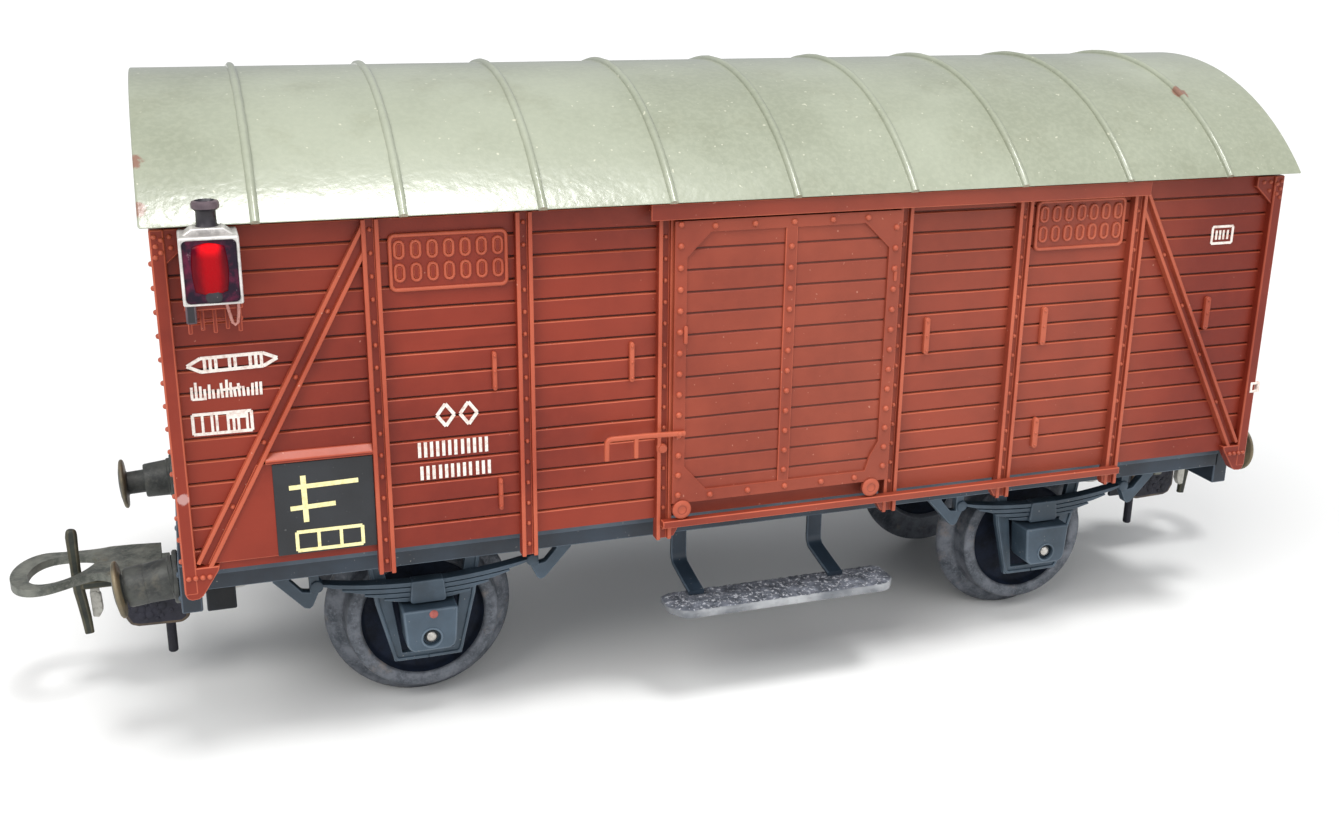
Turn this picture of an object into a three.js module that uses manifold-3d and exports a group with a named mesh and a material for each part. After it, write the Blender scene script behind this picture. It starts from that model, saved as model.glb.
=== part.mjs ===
// H0 scale covered goods wagon with sliding doors, in millimetres.
// +X runs along the wagon to its right end, +Y to its back side, +Z up.
// The origin is the middle of the wagon, at the lowest point of the wheel flanges.
// The wagon is modelled with the rail top at zero height, and the whole group is lifted at the end.
// The back side and the right end repeat the front side and the left end, turned half a turn about +Z.
import * as THREE from 'three';
import { mergeVertices } from 'three/addons/utils/BufferGeometryUtils.js';
import Module from 'manifold-3d';

const wasm = await Module();
wasm.setup();

// ---------------------------------------------------------------- driving dimensions
const HALF_TURN = Math.PI;

// Running gear
const AXLE_X = 26.3;
const TREAD_RADIUS = 5.8;
const FLANGE_RADIUS = 7.2;
const WHEEL_BACK_Y = 7.1;
const WHEEL_FRONT_Y = 9.85;
const WHEEL_SIDES = 24;
const AXLE_RADIUS = 0.75;
const WHEEL_BORE_RADIUS = 0.82;
const JOURNAL_RADIUS = 0.45;
const JOURNAL_END_Y = 13.15;
const JOURNAL_SHOULDER_Y = 10.4;

// Body
const BODY_END_X = 42.6;
const CORNER_X = 43.15;
const WALL_Y = 16.0;
const WALL_THICKNESS = 1.0;
const POST_Y = 16.6;
const BODY_BOTTOM_Z = 14.4;
const WALL_TOP_Z = 38.5;
const POST_WIDTH = 1.15;
const POST_BOTTOM_Z = 12.8;
const POST_TOP_Z = 37.8;
const POST_CENTRES_X = [-29.65, -19.45, -9.3, 9.3, 19.45, 29.65];
const CHANNEL_DEPTH = 0.35;
const CHANNEL_EDGE = 0.3;

// Door and its guides
const DOOR_HALF_WIDTH = 8.85;
const DOORWAY_HALF_WIDTH = 8.4;
const DOORWAY_BOTTOM_Z = 15.85;
const DOORWAY_TOP_Z = 36.4;
const DOOR_BOTTOM_Z = 15.75;
const DOOR_TOP_Z = 36.7;
const DOOR_BACK_Y = 16.75;
const DOOR_PANEL_Y = 17.1;
const DOOR_FRAME_Y = 17.4;
const ROLLER_RADIUS = 0.72;
const ROLLER_X = 7.8;
const TRACK_TOP_Z = 14.5;
const TRACK_THICKNESS = 0.55;
const TRACK_START_X = -9.6;
const TRACK_END_X = 29.9;
const RAIL_START_X = -10.7;
const RAIL_FRONT_Y = 17.75;
const RAIL_BOTTOM_Z = 36.9;
const RAIL_TOP_Z = 38.0;
const RAIL_THICKNESS = 0.5;
const LATCH_THICKNESS = 0.3;
const LATCH_TOP_Z = 21.45;
const LATCH_ARM_BOTTOM_Z = 19.7;
const RUNNING_GAP = 0.1;

// Roof
const ROOF_HALF_LENGTH = 43.7;
const ROOF_HALF_WIDTH = 17.8;
const EAVE_Z = 38.1;
const CROWN_Z = 46.2;
const ROOF_THICKNESS = 0.8;
const ROOF_STEPS = 16;
const RIB_SPACING = 9.2;
const RIB_COUNT = 9;
const RIB_WIDTH = 0.55;
const RIB_HEIGHT = 0.3;
const RIB_ROOT = 0.4;

// Underframe
const FLOOR_BOTTOM_Z = 13.4;
const FLOOR_TOP_Z = 14.33;
const FLOOR_HALF_WIDTH = 14.2;
const SOLEBAR_INNER_Y = 13.2;
const SOLEBAR_BOTTOM_Z = 12.2;
const HEADSTOCK_X = 43.5;
const HEADSTOCK_BOTTOM_Z = 10.6;
const HEADSTOCK_THICKNESS = 1.4;
const SCREW_X = -18;
const SCREW_RADIUS = 0.6;
const SCREW_HOLE_RADIUS = 0.7;
const WEIGHT_HALF_LENGTH = 36;
const WEIGHT_HALF_WIDTH = 12;
const WEIGHT_BOTTOM_Z = 14.43;
const WEIGHT_TOP_Z = 15.1;
const INSERT_HALF_LENGTH = 41.3;
const INSERT_HALF_WIDTH = 14.7;
const INSERT_BOTTOM_Z = 15.15;
const INSERT_TOP_Z = 15.65;

// Axle guards and springs
const GUARD_FRONT_Y = 11.35;
const GUARD_BACK_Y = 10.8;
const AXLE_BOX_FRONT_Y = 13.4;
const SPRING_FRONT_Y = 12.5;
const SPRING_BACK_Y = 11.5;
const SPRING_HALF_SPAN = 7.9;
const SPRING_END_RISE = 0.75;
const SPRING_TOP_Z = 10.0;
const LEAF_THICKNESS = 0.44;
const LEAF_PITCH = 0.4;

// Buffers and couplings
const BUFFER_Y = 10.5;
const BUFFER_Z = 11.9;
const PIVOT_X = -39.5;
const POCKET_START_X = -41.9;
const POCKET_END_X = -36.5;
const POCKET_HALF_WIDTH = 3.2;
const POCKET_BOTTOM_Z = 9.5;
const CHEEK_END_X = -39.7;
const CHEEK_INNER_Y = 3.1;
const CHEEK_OUTER_Y = 3.5;
const CHEEK_BOTTOM_Z = 5.6;
const DRAWBAR_HALF_WIDTH = 2.2;
const DRAWBAR_TOP_Z = 8.1;
const TRIP_PIN_X = -44.75;
const TRIP_PIN_RADIUS = 0.38;
const LOOP_HINGE_X = -45.2;
const LOOP_HINGE_Z = 7.55;
const HINGE_PIN_RADIUS = 0.28;
const LOOP_BOTTOM_Z = 8.45;
const LOOP_THICKNESS = 0.65;

// Step boards
const STEP_HALF_LENGTH = 9.45;
const STEP_TOP_Z = 6.95;
const STEP_THICKNESS = 0.6;
const STEP_MIDDLE_X = 0.85;
const STEP_FRONT_Y = -17.3;
const STEP_BACK_Y = -13.4;
const STEP_BRACKET_X = 5.9;

// Notice panels and tail lamps
const PANEL_START_X = -36.9;
const PANEL_END_X = -30.4;
const PANEL_BOTTOM_Z = 14.85;
const PANEL_TOP_Z = 21.75;
const PANEL_FRONT_Y = -16.45;
const LEDGE_FRONT_Y = -16.9;
const LEDGE_TOP_Z = 22.35;
const LAMP_X = -39.7;
const LAMP_HALF_WIDTH = 1.78;
const LAMP_FRONT_Y = -20.3;
const LAMP_BACK_Y = -17.05;
const LAMP_BOTTOM_Z = 33.65;
const LAMP_TOP_Z = 37.9;
const CHIMNEY_RADIUS = 0.62;
const CHIMNEY_CAP_RADIUS = 0.85;

// The arch of the roof passes through both eaves and the crown.
const ARCH_RISE = CROWN_Z - EAVE_Z;
const ARCH_RADIUS = (ROOF_HALF_WIDTH ** 2 + ARCH_RISE ** 2) / (2 * ARCH_RISE);
const ARCH_CENTRE_Z = CROWN_Z - ARCH_RADIUS;

// ---------------------------------------------------------------- materials
function material(color, roughness, metalness = 0) {
  return new THREE.MeshStandardMaterial({ color, roughness, metalness });
}

const bodyRed = material(0x99493a, 0.45);
const roofGrey = material(0xa5a88c, 0.5);
const frameBlack = material(0x2e3236, 0.6);
const wheelGrey = material(0x6b6560, 0.5, 0.6);
const brightSteel = material(0xc9c7c2, 0.3, 1.0);
const couplingGrey = material(0x7b7a72, 0.5, 0.7);
const boardBlack = material(0x34363a, 0.8);
const panelBlack = material(0x1d1d1f, 0.55);
const lampSilver = material(0xd4d2cd, 0.35, 0.4);
const lensRed = material(0xc4161c, 0.15);
const weightSteel = material(0x8d8b88, 0.45, 0.9);

// ---------------------------------------------------------------- solids
function solidOf(geometry) {
  geometry.deleteAttribute('normal');
  geometry.deleteAttribute('uv');
  const merged = mergeVertices(geometry, 1e-5);
  const index = merged.index.array;
  const triangles = [];
  for (let i = 0; i < index.length; i += 3) {
    const [a, b, c] = [index[i], index[i + 1], index[i + 2]];
    if (a !== b && b !== c && c !== a) triangles.push(a, b, c);
  }
  return new wasm.Manifold(new wasm.Mesh({
    numProp: 3,
    vertProperties: new Float32Array(merged.attributes.position.array),
    triVerts: new Uint32Array(triangles),
  }));
}

function geometryOf(solid) {
  const mesh = solid.getMesh();
  const geometry = new THREE.BufferGeometry();
  geometry.setAttribute('position', new THREE.BufferAttribute(mesh.vertProperties, 3));
  geometry.setIndex(new THREE.BufferAttribute(mesh.triVerts, 1));
  return geometry;
}

function joined(solids) {
  return solids.reduce((sum, solid) => sum.add(solid));
}

function cut(solid, tools) {
  return tools.reduce((rest, tool) => rest.subtract(tool), solid);
}

function block(x0, x1, y0, y1, z0, z1) {
  const geometry = new THREE.BoxGeometry(x1 - x0, y1 - y0, z1 - z0);
  return solidOf(geometry.translate((x0 + x1) / 2, (y0 + y1) / 2, (z0 + z1) / 2));
}

function extruded(outline, depth) {
  const shape = new THREE.Shape(outline.map(([u, v]) => new THREE.Vector2(u, v)));
  return new THREE.ExtrudeGeometry(shape, { depth, bevelEnabled: false, curveSegments: 8 });
}

// An outline in X and Z, extruded from y0 to y1.
function alongY(outline, y0, y1) {
  const toXZ = new THREE.Matrix4().makeBasis(
    new THREE.Vector3(1, 0, 0), new THREE.Vector3(0, 0, 1), new THREE.Vector3(0, -1, 0));
  return solidOf(extruded(outline, y1 - y0).applyMatrix4(toXZ).translate(0, y1, 0));
}

// An outline in Y and Z, extruded from x0 to x1.
function alongX(outline, x0, x1) {
  const toYZ = new THREE.Matrix4().makeBasis(
    new THREE.Vector3(0, 1, 0), new THREE.Vector3(0, 0, 1), new THREE.Vector3(1, 0, 0));
  return solidOf(extruded(outline, x1 - x0).applyMatrix4(toYZ).translate(x0, 0, 0));
}

// An outline in X and Y, extruded from z0 to z1.
function alongZ(outline, z0, z1) {
  return solidOf(extruded(outline, z1 - z0).translate(0, 0, z0));
}

// A profile of [radius, height] points turned about +Y, with a flat at the bottom.
function turnedGeometry(profile, sides) {
  const points = profile.map(([radius, height]) => new THREE.Vector2(radius, height));
  return new THREE.LatheGeometry(points, sides, Math.PI / sides);
}

function rodY(x, z, radius, y0, y1, sides = 16) {
  const profile = [[0, y0], [radius, y0], [radius, y1], [0, y1]];
  return solidOf(turnedGeometry(profile, sides).translate(x, 0, z));
}

function rodZ(x, y, radius, z0, z1, sides = 16) {
  const profile = [[0, z0], [radius, z0], [radius, z1], [0, z1]];
  return solidOf(turnedGeometry(profile, sides).rotateX(Math.PI / 2).translate(x, y, 0));
}

function mirroredX(outline) {
  return outline.map(([u, v]) => [-u, v]).reverse();
}

// ---------------------------------------------------------------- the wagon
const wagon = new THREE.Group();
wagon.position.z = FLANGE_RADIUS - TREAD_RADIUS;

function addPart(name, solid, meshMaterial, { x = 0, y = 0, turned = false } = {}) {
  const mesh = new THREE.Mesh(geometryOf(solid), meshMaterial);
  mesh.name = name;
  mesh.position.set(x, y, 0);
  if (turned) mesh.rotation.z = HALF_TURN;
  wagon.add(mesh);
}

// Front and back copies of a piece that is modelled on the front side.
function addOnBothSides(name, solid, meshMaterial) {
  addPart(`${name}_front`, solid, meshMaterial);
  addPart(`${name}_back`, solid, meshMaterial, { turned: true });
}

// Left and right copies of a piece that is modelled on the left end.
function addAtBothEnds(name, solid, meshMaterial) {
  addPart(`${name}_left`, solid, meshMaterial);
  addPart(`${name}_right`, solid, meshMaterial, { turned: true });
}

// Four copies of a front piece modelled at x = 0, one at each end of each side.
function addAtFourPlaces(name, solid, meshMaterial, x) {
  addPart(`${name}_front_left`, solid, meshMaterial, { x: -x });
  addPart(`${name}_front_right`, solid, meshMaterial, { x });
  addPart(`${name}_back_left`, solid, meshMaterial, { x: -x, turned: true });
  addPart(`${name}_back_right`, solid, meshMaterial, { x, turned: true });
}

// ---------------------------------------------------------------- body shell
function frontWall() {
  const innerY = -(WALL_Y - WALL_THICKNESS);
  const wall = block(-BODY_END_X, BODY_END_X, -WALL_Y, innerY, BODY_BOTTOM_Z, WALL_TOP_Z);
  return wall.subtract(block(-DOORWAY_HALF_WIDTH, DOORWAY_HALF_WIDTH, -WALL_Y - 1, innerY + 1,
    DOORWAY_BOTTOM_Z, DOORWAY_TOP_Z));
}

// Points of the roof's arch at a given radius, from one height on the left to the same on the right.
function archPoints(radius, footZ, steps = ROOF_STEPS) {
  const halfAngle = Math.acos((footZ - ARCH_CENTRE_Z) / radius);
  return Array.from({ length: steps + 1 }, (_, i) => {
    const angle = halfAngle * (2 * i / steps - 1);
    return [radius * Math.sin(angle), ARCH_CENTRE_Z + radius * Math.cos(angle)];
  });
}

// The end wall closes the body up to just under the roof's arch.
function leftEndWall() {
  const gable = archPoints(ARCH_RADIUS - ROOF_THICKNESS - 0.3, WALL_TOP_Z).reverse();
  const halfWidth = WALL_Y - 0.5;
  const outline = [[-halfWidth, BODY_BOTTOM_Z], [halfWidth, BODY_BOTTOM_Z], ...gable];
  return alongX(outline, -BODY_END_X, -BODY_END_X + WALL_THICKNESS);
}

// An upright channel bar on the front wall, open outwards.
function frontPost(x) {
  const half = POST_WIDTH / 2;
  const bar = block(x - half, x + half, -POST_Y, -(WALL_Y - 0.3), POST_BOTTOM_Z, POST_TOP_Z);
  const inner = half - CHANNEL_EDGE;
  return bar.subtract(block(x - inner, x + inner, -POST_Y - 1, -(POST_Y - CHANNEL_DEPTH),
    POST_BOTTOM_Z + 2.6, POST_TOP_Z + 1));
}

// A channel brace from a lower outer point to an upper inner point of the front wall.
function frontBrace(sign) {
  const foot = new THREE.Vector2(-42.2, 14.2);
  const head = new THREE.Vector2(-30.6, 35.6);
  const along = head.clone().sub(foot).normalize();
  const across = new THREE.Vector2(-along.y, along.x);
  const strip = (inset, frontY, backY) => {
    const half = POST_WIDTH / 2 - inset;
    const corners = [[foot, -half], [foot, half], [head, half], [head, -half]].map(
      ([point, offset]) => [point.x + across.x * offset, point.y + across.y * offset]).reverse();
    return alongY(sign > 0 ? corners : mirroredX(corners), frontY, backY);
  };
  const bar = strip(0, -POST_Y, -(WALL_Y - 0.3));
  return bar.subtract(strip(CHANNEL_EDGE, -POST_Y - 1, -(POST_Y - CHANNEL_DEPTH)));
}

// The angle iron at a corner of the body, with its pointed gusset at the foot.
function cornerPost(sign) {
  const post = block(-CORNER_X, -CORNER_X + 0.9, -POST_Y, -(WALL_Y - 0.9), POST_BOTTOM_Z, POST_TOP_Z);
  const gusset = alongY([[-CORNER_X, 12.8], [-42.4, 12.8], [-40.7, 14.5], [-40.2, 17.2],
    [-41.0, 18.2], [-CORNER_X, 18.2]], -POST_Y + 0.1, -(WALL_Y - 0.3));
  const corner = post.add(gusset);
  return sign > 0 ? corner : corner.mirror([1, 0, 0]);
}

function frontVent(x) {
  return block(x - 4.0, x + 4.0, -WALL_Y - 0.3, -(WALL_Y - 0.3), 32.8, 36.6);
}

function leftEndPost(y) {
  return block(-CORNER_X, -BODY_END_X + 0.3, y - POST_WIDTH / 2, y + POST_WIDTH / 2,
    POST_BOTTOM_Z + 1.7, 42.5);
}

function halfTurned(solid) {
  return solid.rotate([0, 0, 180]);
}

const frontSide = joined([
  frontWall(),
  ...POST_CENTRES_X.map(frontPost),
  frontBrace(1),
  frontBrace(-1),
  cornerPost(1),
  cornerPost(-1),
  frontVent(-24.5),
  frontVent(24.5),
]);
const leftEnd = joined([leftEndWall(), leftEndPost(-5.4), leftEndPost(5.4)]);
addPart('body_shell',
  joined([frontSide, halfTurned(frontSide), leftEnd, halfTurned(leftEnd)]), bodyRed);

// ---------------------------------------------------------------- roof
function archBand(innerRadius, outerRadius, footZ, x0, x1) {
  const outline = [...archPoints(outerRadius, footZ), ...archPoints(innerRadius, footZ).reverse()];
  return alongX(outline.reverse(), x0, x1);
}

function roof() {
  const ribs = Array.from({ length: RIB_COUNT }, (_, i) => {
    const x = (i - (RIB_COUNT - 1) / 2) * RIB_SPACING;
    const [x0, x1] = [x - RIB_WIDTH / 2, x + RIB_WIDTH / 2];
    return archBand(ARCH_RADIUS - RIB_ROOT, ARCH_RADIUS + RIB_HEIGHT, EAVE_Z, x0, x1);
  });
  return joined([
    archBand(ARCH_RADIUS - ROOF_THICKNESS, ARCH_RADIUS, EAVE_Z, -ROOF_HALF_LENGTH, ROOF_HALF_LENGTH),
    ...ribs,
  ]);
}

addPart('roof', roof(), roofGrey);

// ---------------------------------------------------------------- sliding doors
function chamferedOpening(x0, x1, z0, z1, cutLeft, cutRight) {
  const outline = [];
  outline.push(cutLeft ? [x0 + cutLeft, z0] : [x0, z0]);
  outline.push(cutRight ? [x1 - cutRight, z0] : [x1, z0]);
  if (cutRight) outline.push([x1, z0 + cutRight]);
  if (cutRight) outline.push([x1, z1 - cutRight]);
  outline.push(cutRight ? [x1 - cutRight, z1] : [x1, z1]);
  outline.push(cutLeft ? [x0 + cutLeft, z1] : [x0, z1]);
  if (cutLeft) outline.push([x0, z1 - cutLeft]);
  if (cutLeft) outline.push([x0, z0 + cutLeft]);
  return alongY(outline, -DOOR_FRAME_Y - 1, -DOOR_PANEL_Y);
}

function door() {
  const leaf = block(-DOOR_HALF_WIDTH, DOOR_HALF_WIDTH, -DOOR_FRAME_Y, -DOOR_BACK_Y,
    DOOR_BOTTOM_Z, DOOR_TOP_Z);
  const stile = 0.95;
  const lowZ = DOOR_BOTTOM_Z + 0.9;
  const highZ = DOOR_TOP_Z - 0.8;
  const framed = cut(leaf, [
    chamferedOpening(-DOOR_HALF_WIDTH + stile, -0.48, lowZ, highZ, 1.7, 0),
    chamferedOpening(0.48, DOOR_HALF_WIDTH - stile, lowZ, highZ, 0, 1.7),
  ]);
  const rollerZ = TRACK_TOP_Z + RUNNING_GAP + ROLLER_RADIUS;
  const rollers = [-ROLLER_X, ROLLER_X].map(
    (x) => rodY(x, rollerZ, ROLLER_RADIUS, -DOOR_FRAME_Y - 0.3, -DOOR_BACK_Y - 0.1));
  return joined([framed, ...rollers]);
}

addOnBothSides('door', door(), bodyRed);

// The latch: a bar on the door's leading edge that reaches over the wall, with two hanging arms.
const latchY = -DOOR_FRAME_Y - 0.08;
const latchSpan = [latchY - LATCH_THICKNESS, latchY];
const latch = joined([
  block(-14.0, -8.0, ...latchSpan, LATCH_TOP_Z - 0.35, LATCH_TOP_Z),
  block(-13.95, -13.6, ...latchSpan, LATCH_ARM_BOTTOM_Z, LATCH_TOP_Z - 0.2),
  block(-11.9, -11.5, ...latchSpan, LATCH_ARM_BOTTOM_Z, LATCH_TOP_Z - 0.2),
]);
addOnBothSides('door_latch', latch, bodyRed);

// The upper rail is an angle: its lip hangs down in front of the door's top edge.
const upperRail = joined([
  block(RAIL_START_X, TRACK_END_X, -RAIL_FRONT_Y, -POST_Y - 0.12, RAIL_TOP_Z - RAIL_THICKNESS, RAIL_TOP_Z),
  block(RAIL_START_X, TRACK_END_X, -RAIL_FRONT_Y, -DOOR_FRAME_Y - RUNNING_GAP, RAIL_BOTTOM_Z, RAIL_TOP_Z),
]);
addOnBothSides('door_rail_upper', upperRail, bodyRed);

// The rollers run on the flat top of the lower track.
const lowerTrack = block(TRACK_START_X, TRACK_END_X, -RAIL_FRONT_Y + 0.05, -POST_Y - 0.1,
  TRACK_TOP_Z - TRACK_THICKNESS, TRACK_TOP_Z);
addOnBothSides('door_track_lower', lowerTrack, bodyRed);

// ---------------------------------------------------------------- underframe and floor
function withHoles(solid, centresX, radius) {
  return cut(solid, centresX.map((x) => rodZ(x, 0, radius, 0, 20)));
}

const solebar = block(-BODY_END_X, BODY_END_X, -FLOOR_HALF_WIDTH, -SOLEBAR_INNER_Y,
  SOLEBAR_BOTTOM_Z, FLOOR_TOP_Z);
const headstock = block(-HEADSTOCK_X, -HEADSTOCK_X + HEADSTOCK_THICKNESS,
  -FLOOR_HALF_WIDTH, FLOOR_HALF_WIDTH, HEADSTOCK_BOTTOM_Z, FLOOR_TOP_Z - 0.1);
const floorPlate = block(-BODY_END_X, BODY_END_X, -FLOOR_HALF_WIDTH, FLOOR_HALF_WIDTH,
  FLOOR_BOTTOM_Z, FLOOR_TOP_Z);
addPart('underframe', joined([
  withHoles(floorPlate, [PIVOT_X, SCREW_X, -SCREW_X, -PIVOT_X], SCREW_HOLE_RADIUS),
  solebar,
  halfTurned(solebar),
  headstock,
  halfTurned(headstock),
]), frameBlack);

const weight = block(-WEIGHT_HALF_LENGTH, WEIGHT_HALF_LENGTH, -WEIGHT_HALF_WIDTH, WEIGHT_HALF_WIDTH,
  WEIGHT_BOTTOM_Z, WEIGHT_TOP_Z);
addPart('ballast_weight', withHoles(weight, [SCREW_X, -SCREW_X], SCREW_HOLE_RADIUS + 0.2), weightSteel);
const insert = block(-INSERT_HALF_LENGTH, INSERT_HALF_LENGTH, -INSERT_HALF_WIDTH, INSERT_HALF_WIDTH,
  INSERT_BOTTOM_Z, INSERT_TOP_Z);
addPart('floor_insert', withHoles(insert, [SCREW_X, -SCREW_X], SCREW_HOLE_RADIUS), boardBlack);

// A screw that clamps the floor and the weight to the underframe.
const floorScrew = joined([
  rodZ(SCREW_X, 0, 2 * SCREW_RADIUS, FLOOR_BOTTOM_Z - 0.7, FLOOR_BOTTOM_Z - 0.05),
  rodZ(SCREW_X, 0, SCREW_RADIUS, FLOOR_BOTTOM_Z - 0.2, INSERT_TOP_Z - 0.05),
]);
addAtBothEnds('floor_screw', floorScrew, brightSteel);

// ---------------------------------------------------------------- axle guards and springs
function axleGuard() {
  const halfOutline = [[2.15, 3.9], [3.2, 8.4], [4.1, 11.9], [4.3, 13.3]];
  const plate = alongY([...halfOutline, ...mirroredX(halfOutline)], -GUARD_FRONT_Y, -GUARD_BACK_Y);
  const opening = alongY([[-1.9, 8.7], [1.9, 8.7], [2.3, 11.4], [-2.3, 11.4]],
    -GUARD_FRONT_Y - 1, -GUARD_BACK_Y + 1);
  const boxOutline = [[-1.75, 4.85], [1.75, 4.85], [2.05, 5.3], [2.05, 8.1], [-2.05, 8.1], [-2.05, 5.3]];
  const axleBox = alongY(boxOutline, -AXLE_BOX_FRONT_Y, -GUARD_FRONT_Y + 0.1);
  return cut(plate.add(axleBox), [
    opening,
    rodY(0, TREAD_RADIUS, 0.78, -AXLE_BOX_FRONT_Y - 1, -AXLE_BOX_FRONT_Y + 0.6),
    rodY(0, TREAD_RADIUS, JOURNAL_RADIUS + 0.07, -AXLE_BOX_FRONT_Y, -GUARD_BACK_Y + 1),
  ]);
}

addAtFourPlaces('axle_guard', axleGuard(), frameBlack, AXLE_X);

function leafSpring() {
  const curveZ = (x) => SPRING_END_RISE * (x / SPRING_HALF_SPAN) ** 2;
  const leaf = (level) => {
    const half = SPRING_HALF_SPAN - level * 1.65;
    const topZ = SPRING_TOP_Z - level * LEAF_PITCH;
    const xs = Array.from({ length: 9 }, (_, i) => half * (i / 4 - 1));
    const lower = xs.map((x) => [x, topZ - LEAF_THICKNESS + curveZ(x)]);
    const upper = xs.map((x) => [x, topZ + curveZ(x)]).reverse();
    return alongY([...lower, ...upper], -SPRING_FRONT_Y, -SPRING_BACK_Y);
  };
  const buckle = block(-1.4, 1.4, -SPRING_FRONT_Y - 0.2, -SPRING_BACK_Y,
    SPRING_TOP_Z - 1.8, SPRING_TOP_Z + 0.25);
  const hangerTopZ = FLOOR_BOTTOM_Z - 0.05;
  const hangerOutline = [
    [8.6, 8.9], [11.0, 11.5], [11.0, hangerTopZ], [7.6, hangerTopZ], [7.6, 10.2],
  ];
  const hangers = [
    alongY(hangerOutline, -SPRING_FRONT_Y + 0.1, -SPRING_BACK_Y),
    alongY(mirroredX(hangerOutline), -SPRING_FRONT_Y + 0.1, -SPRING_BACK_Y),
  ];
  return joined([leaf(0), leaf(1), leaf(2), leaf(3), buckle, ...hangers]);
}

addAtFourPlaces('leaf_spring', leafSpring(), frameBlack, AXLE_X);

// ---------------------------------------------------------------- wheelsets
const flangeTip = FLANGE_RADIUS / Math.cos(Math.PI / WHEEL_SIDES);
const wheelProfile = [
  [WHEEL_BORE_RADIUS, WHEEL_BACK_Y + 0.1], [1.7, WHEEL_BACK_Y + 0.1],
  [1.9, WHEEL_BACK_Y + 0.7], [4.5, WHEEL_BACK_Y + 0.7],
  [4.8, WHEEL_BACK_Y], [flangeTip - 0.25, WHEEL_BACK_Y], [flangeTip, WHEEL_BACK_Y + 0.25],
  [flangeTip, WHEEL_BACK_Y + 0.5], [TREAD_RADIUS + 0.3, WHEEL_BACK_Y + 0.95],
  [TREAD_RADIUS + 0.1, WHEEL_BACK_Y + 1.2], [TREAD_RADIUS, WHEEL_FRONT_Y - 0.2],
  [TREAD_RADIUS - 0.2, WHEEL_FRONT_Y], [4.7, WHEEL_FRONT_Y],
  [4.45, WHEEL_FRONT_Y - 0.8], [1.9, WHEEL_FRONT_Y - 1.0], [1.6, WHEEL_FRONT_Y - 0.1],
  [WHEEL_BORE_RADIUS, WHEEL_FRONT_Y - 0.1], [WHEEL_BORE_RADIUS, WHEEL_BACK_Y + 0.1],
];
// The back wheel stands as modelled. The front wheel is turned, so its flange faces inwards too.
const wheel = solidOf(turnedGeometry(wheelProfile, WHEEL_SIDES).translate(0, 0, TREAD_RADIUS));
for (const [end, x] of [['left', -AXLE_X], ['right', AXLE_X]]) {
  addPart(`wheel_back_${end}`, wheel, wheelGrey, { x });
  addPart(`wheel_front_${end}`, wheel, wheelGrey, { x, turned: true });
}

const axleProfile = [
  [0, -JOURNAL_END_Y], [JOURNAL_RADIUS - 0.15, -JOURNAL_END_Y], [JOURNAL_RADIUS, -JOURNAL_END_Y + 0.15],
  [JOURNAL_RADIUS, -JOURNAL_SHOULDER_Y], [AXLE_RADIUS, -JOURNAL_SHOULDER_Y + 0.2],
  [AXLE_RADIUS, JOURNAL_SHOULDER_Y - 0.2], [JOURNAL_RADIUS, JOURNAL_SHOULDER_Y],
  [JOURNAL_RADIUS, JOURNAL_END_Y - 0.15], [JOURNAL_RADIUS - 0.15, JOURNAL_END_Y], [0, JOURNAL_END_Y],
];
const axle = solidOf(turnedGeometry(axleProfile, 16).translate(0, 0, TREAD_RADIUS));
addPart('axle_left', axle, brightSteel, { x: -AXLE_X });
addPart('axle_right', axle, brightSteel, { x: AXLE_X });

// ---------------------------------------------------------------- buffers
// Heights along the buffer are measured outwards from the headstock.
const bufferProfile = [
  [0, 0.05], [1.9, 0.05], [1.9, 0.42], [1.6, 0.55], [1.38, 2.45], [0.96, 2.47], [0.94, 3.8],
  [1.95, 3.92], [2.08, 4.06], [2.0, 4.22], [1.2, 4.42], [0, 4.5],
];
const leftBuffer = solidOf(turnedGeometry(bufferProfile, 20).rotateZ(Math.PI / 2)
  .translate(-HEADSTOCK_X, 0, BUFFER_Z));
for (const [side, y] of [['front', -BUFFER_Y], ['back', BUFFER_Y]]) {
  addPart(`buffer_${side}_left`, leftBuffer, frameBlack, { y });
  addPart(`buffer_${side}_right`, leftBuffer, frameBlack, { y, turned: true });
}

// ---------------------------------------------------------------- couplings
// The pocket hangs under the floor and has a cheek on each side of the drawbar.
const pocket = cut(joined([
  block(POCKET_START_X, POCKET_END_X, -POCKET_HALF_WIDTH, POCKET_HALF_WIDTH,
    POCKET_BOTTOM_Z, FLOOR_BOTTOM_Z - 0.05),
  block(POCKET_START_X, CHEEK_END_X, -CHEEK_OUTER_Y, -CHEEK_INNER_Y, CHEEK_BOTTOM_Z, POCKET_BOTTOM_Z + 0.4),
  block(POCKET_START_X, CHEEK_END_X, CHEEK_INNER_Y, CHEEK_OUTER_Y, CHEEK_BOTTOM_Z, POCKET_BOTTOM_Z + 0.4),
]), [rodZ(PIVOT_X, 0, 0.6, 9, 14)]);
addAtBothEnds('coupling_pocket', pocket, frameBlack);

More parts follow.
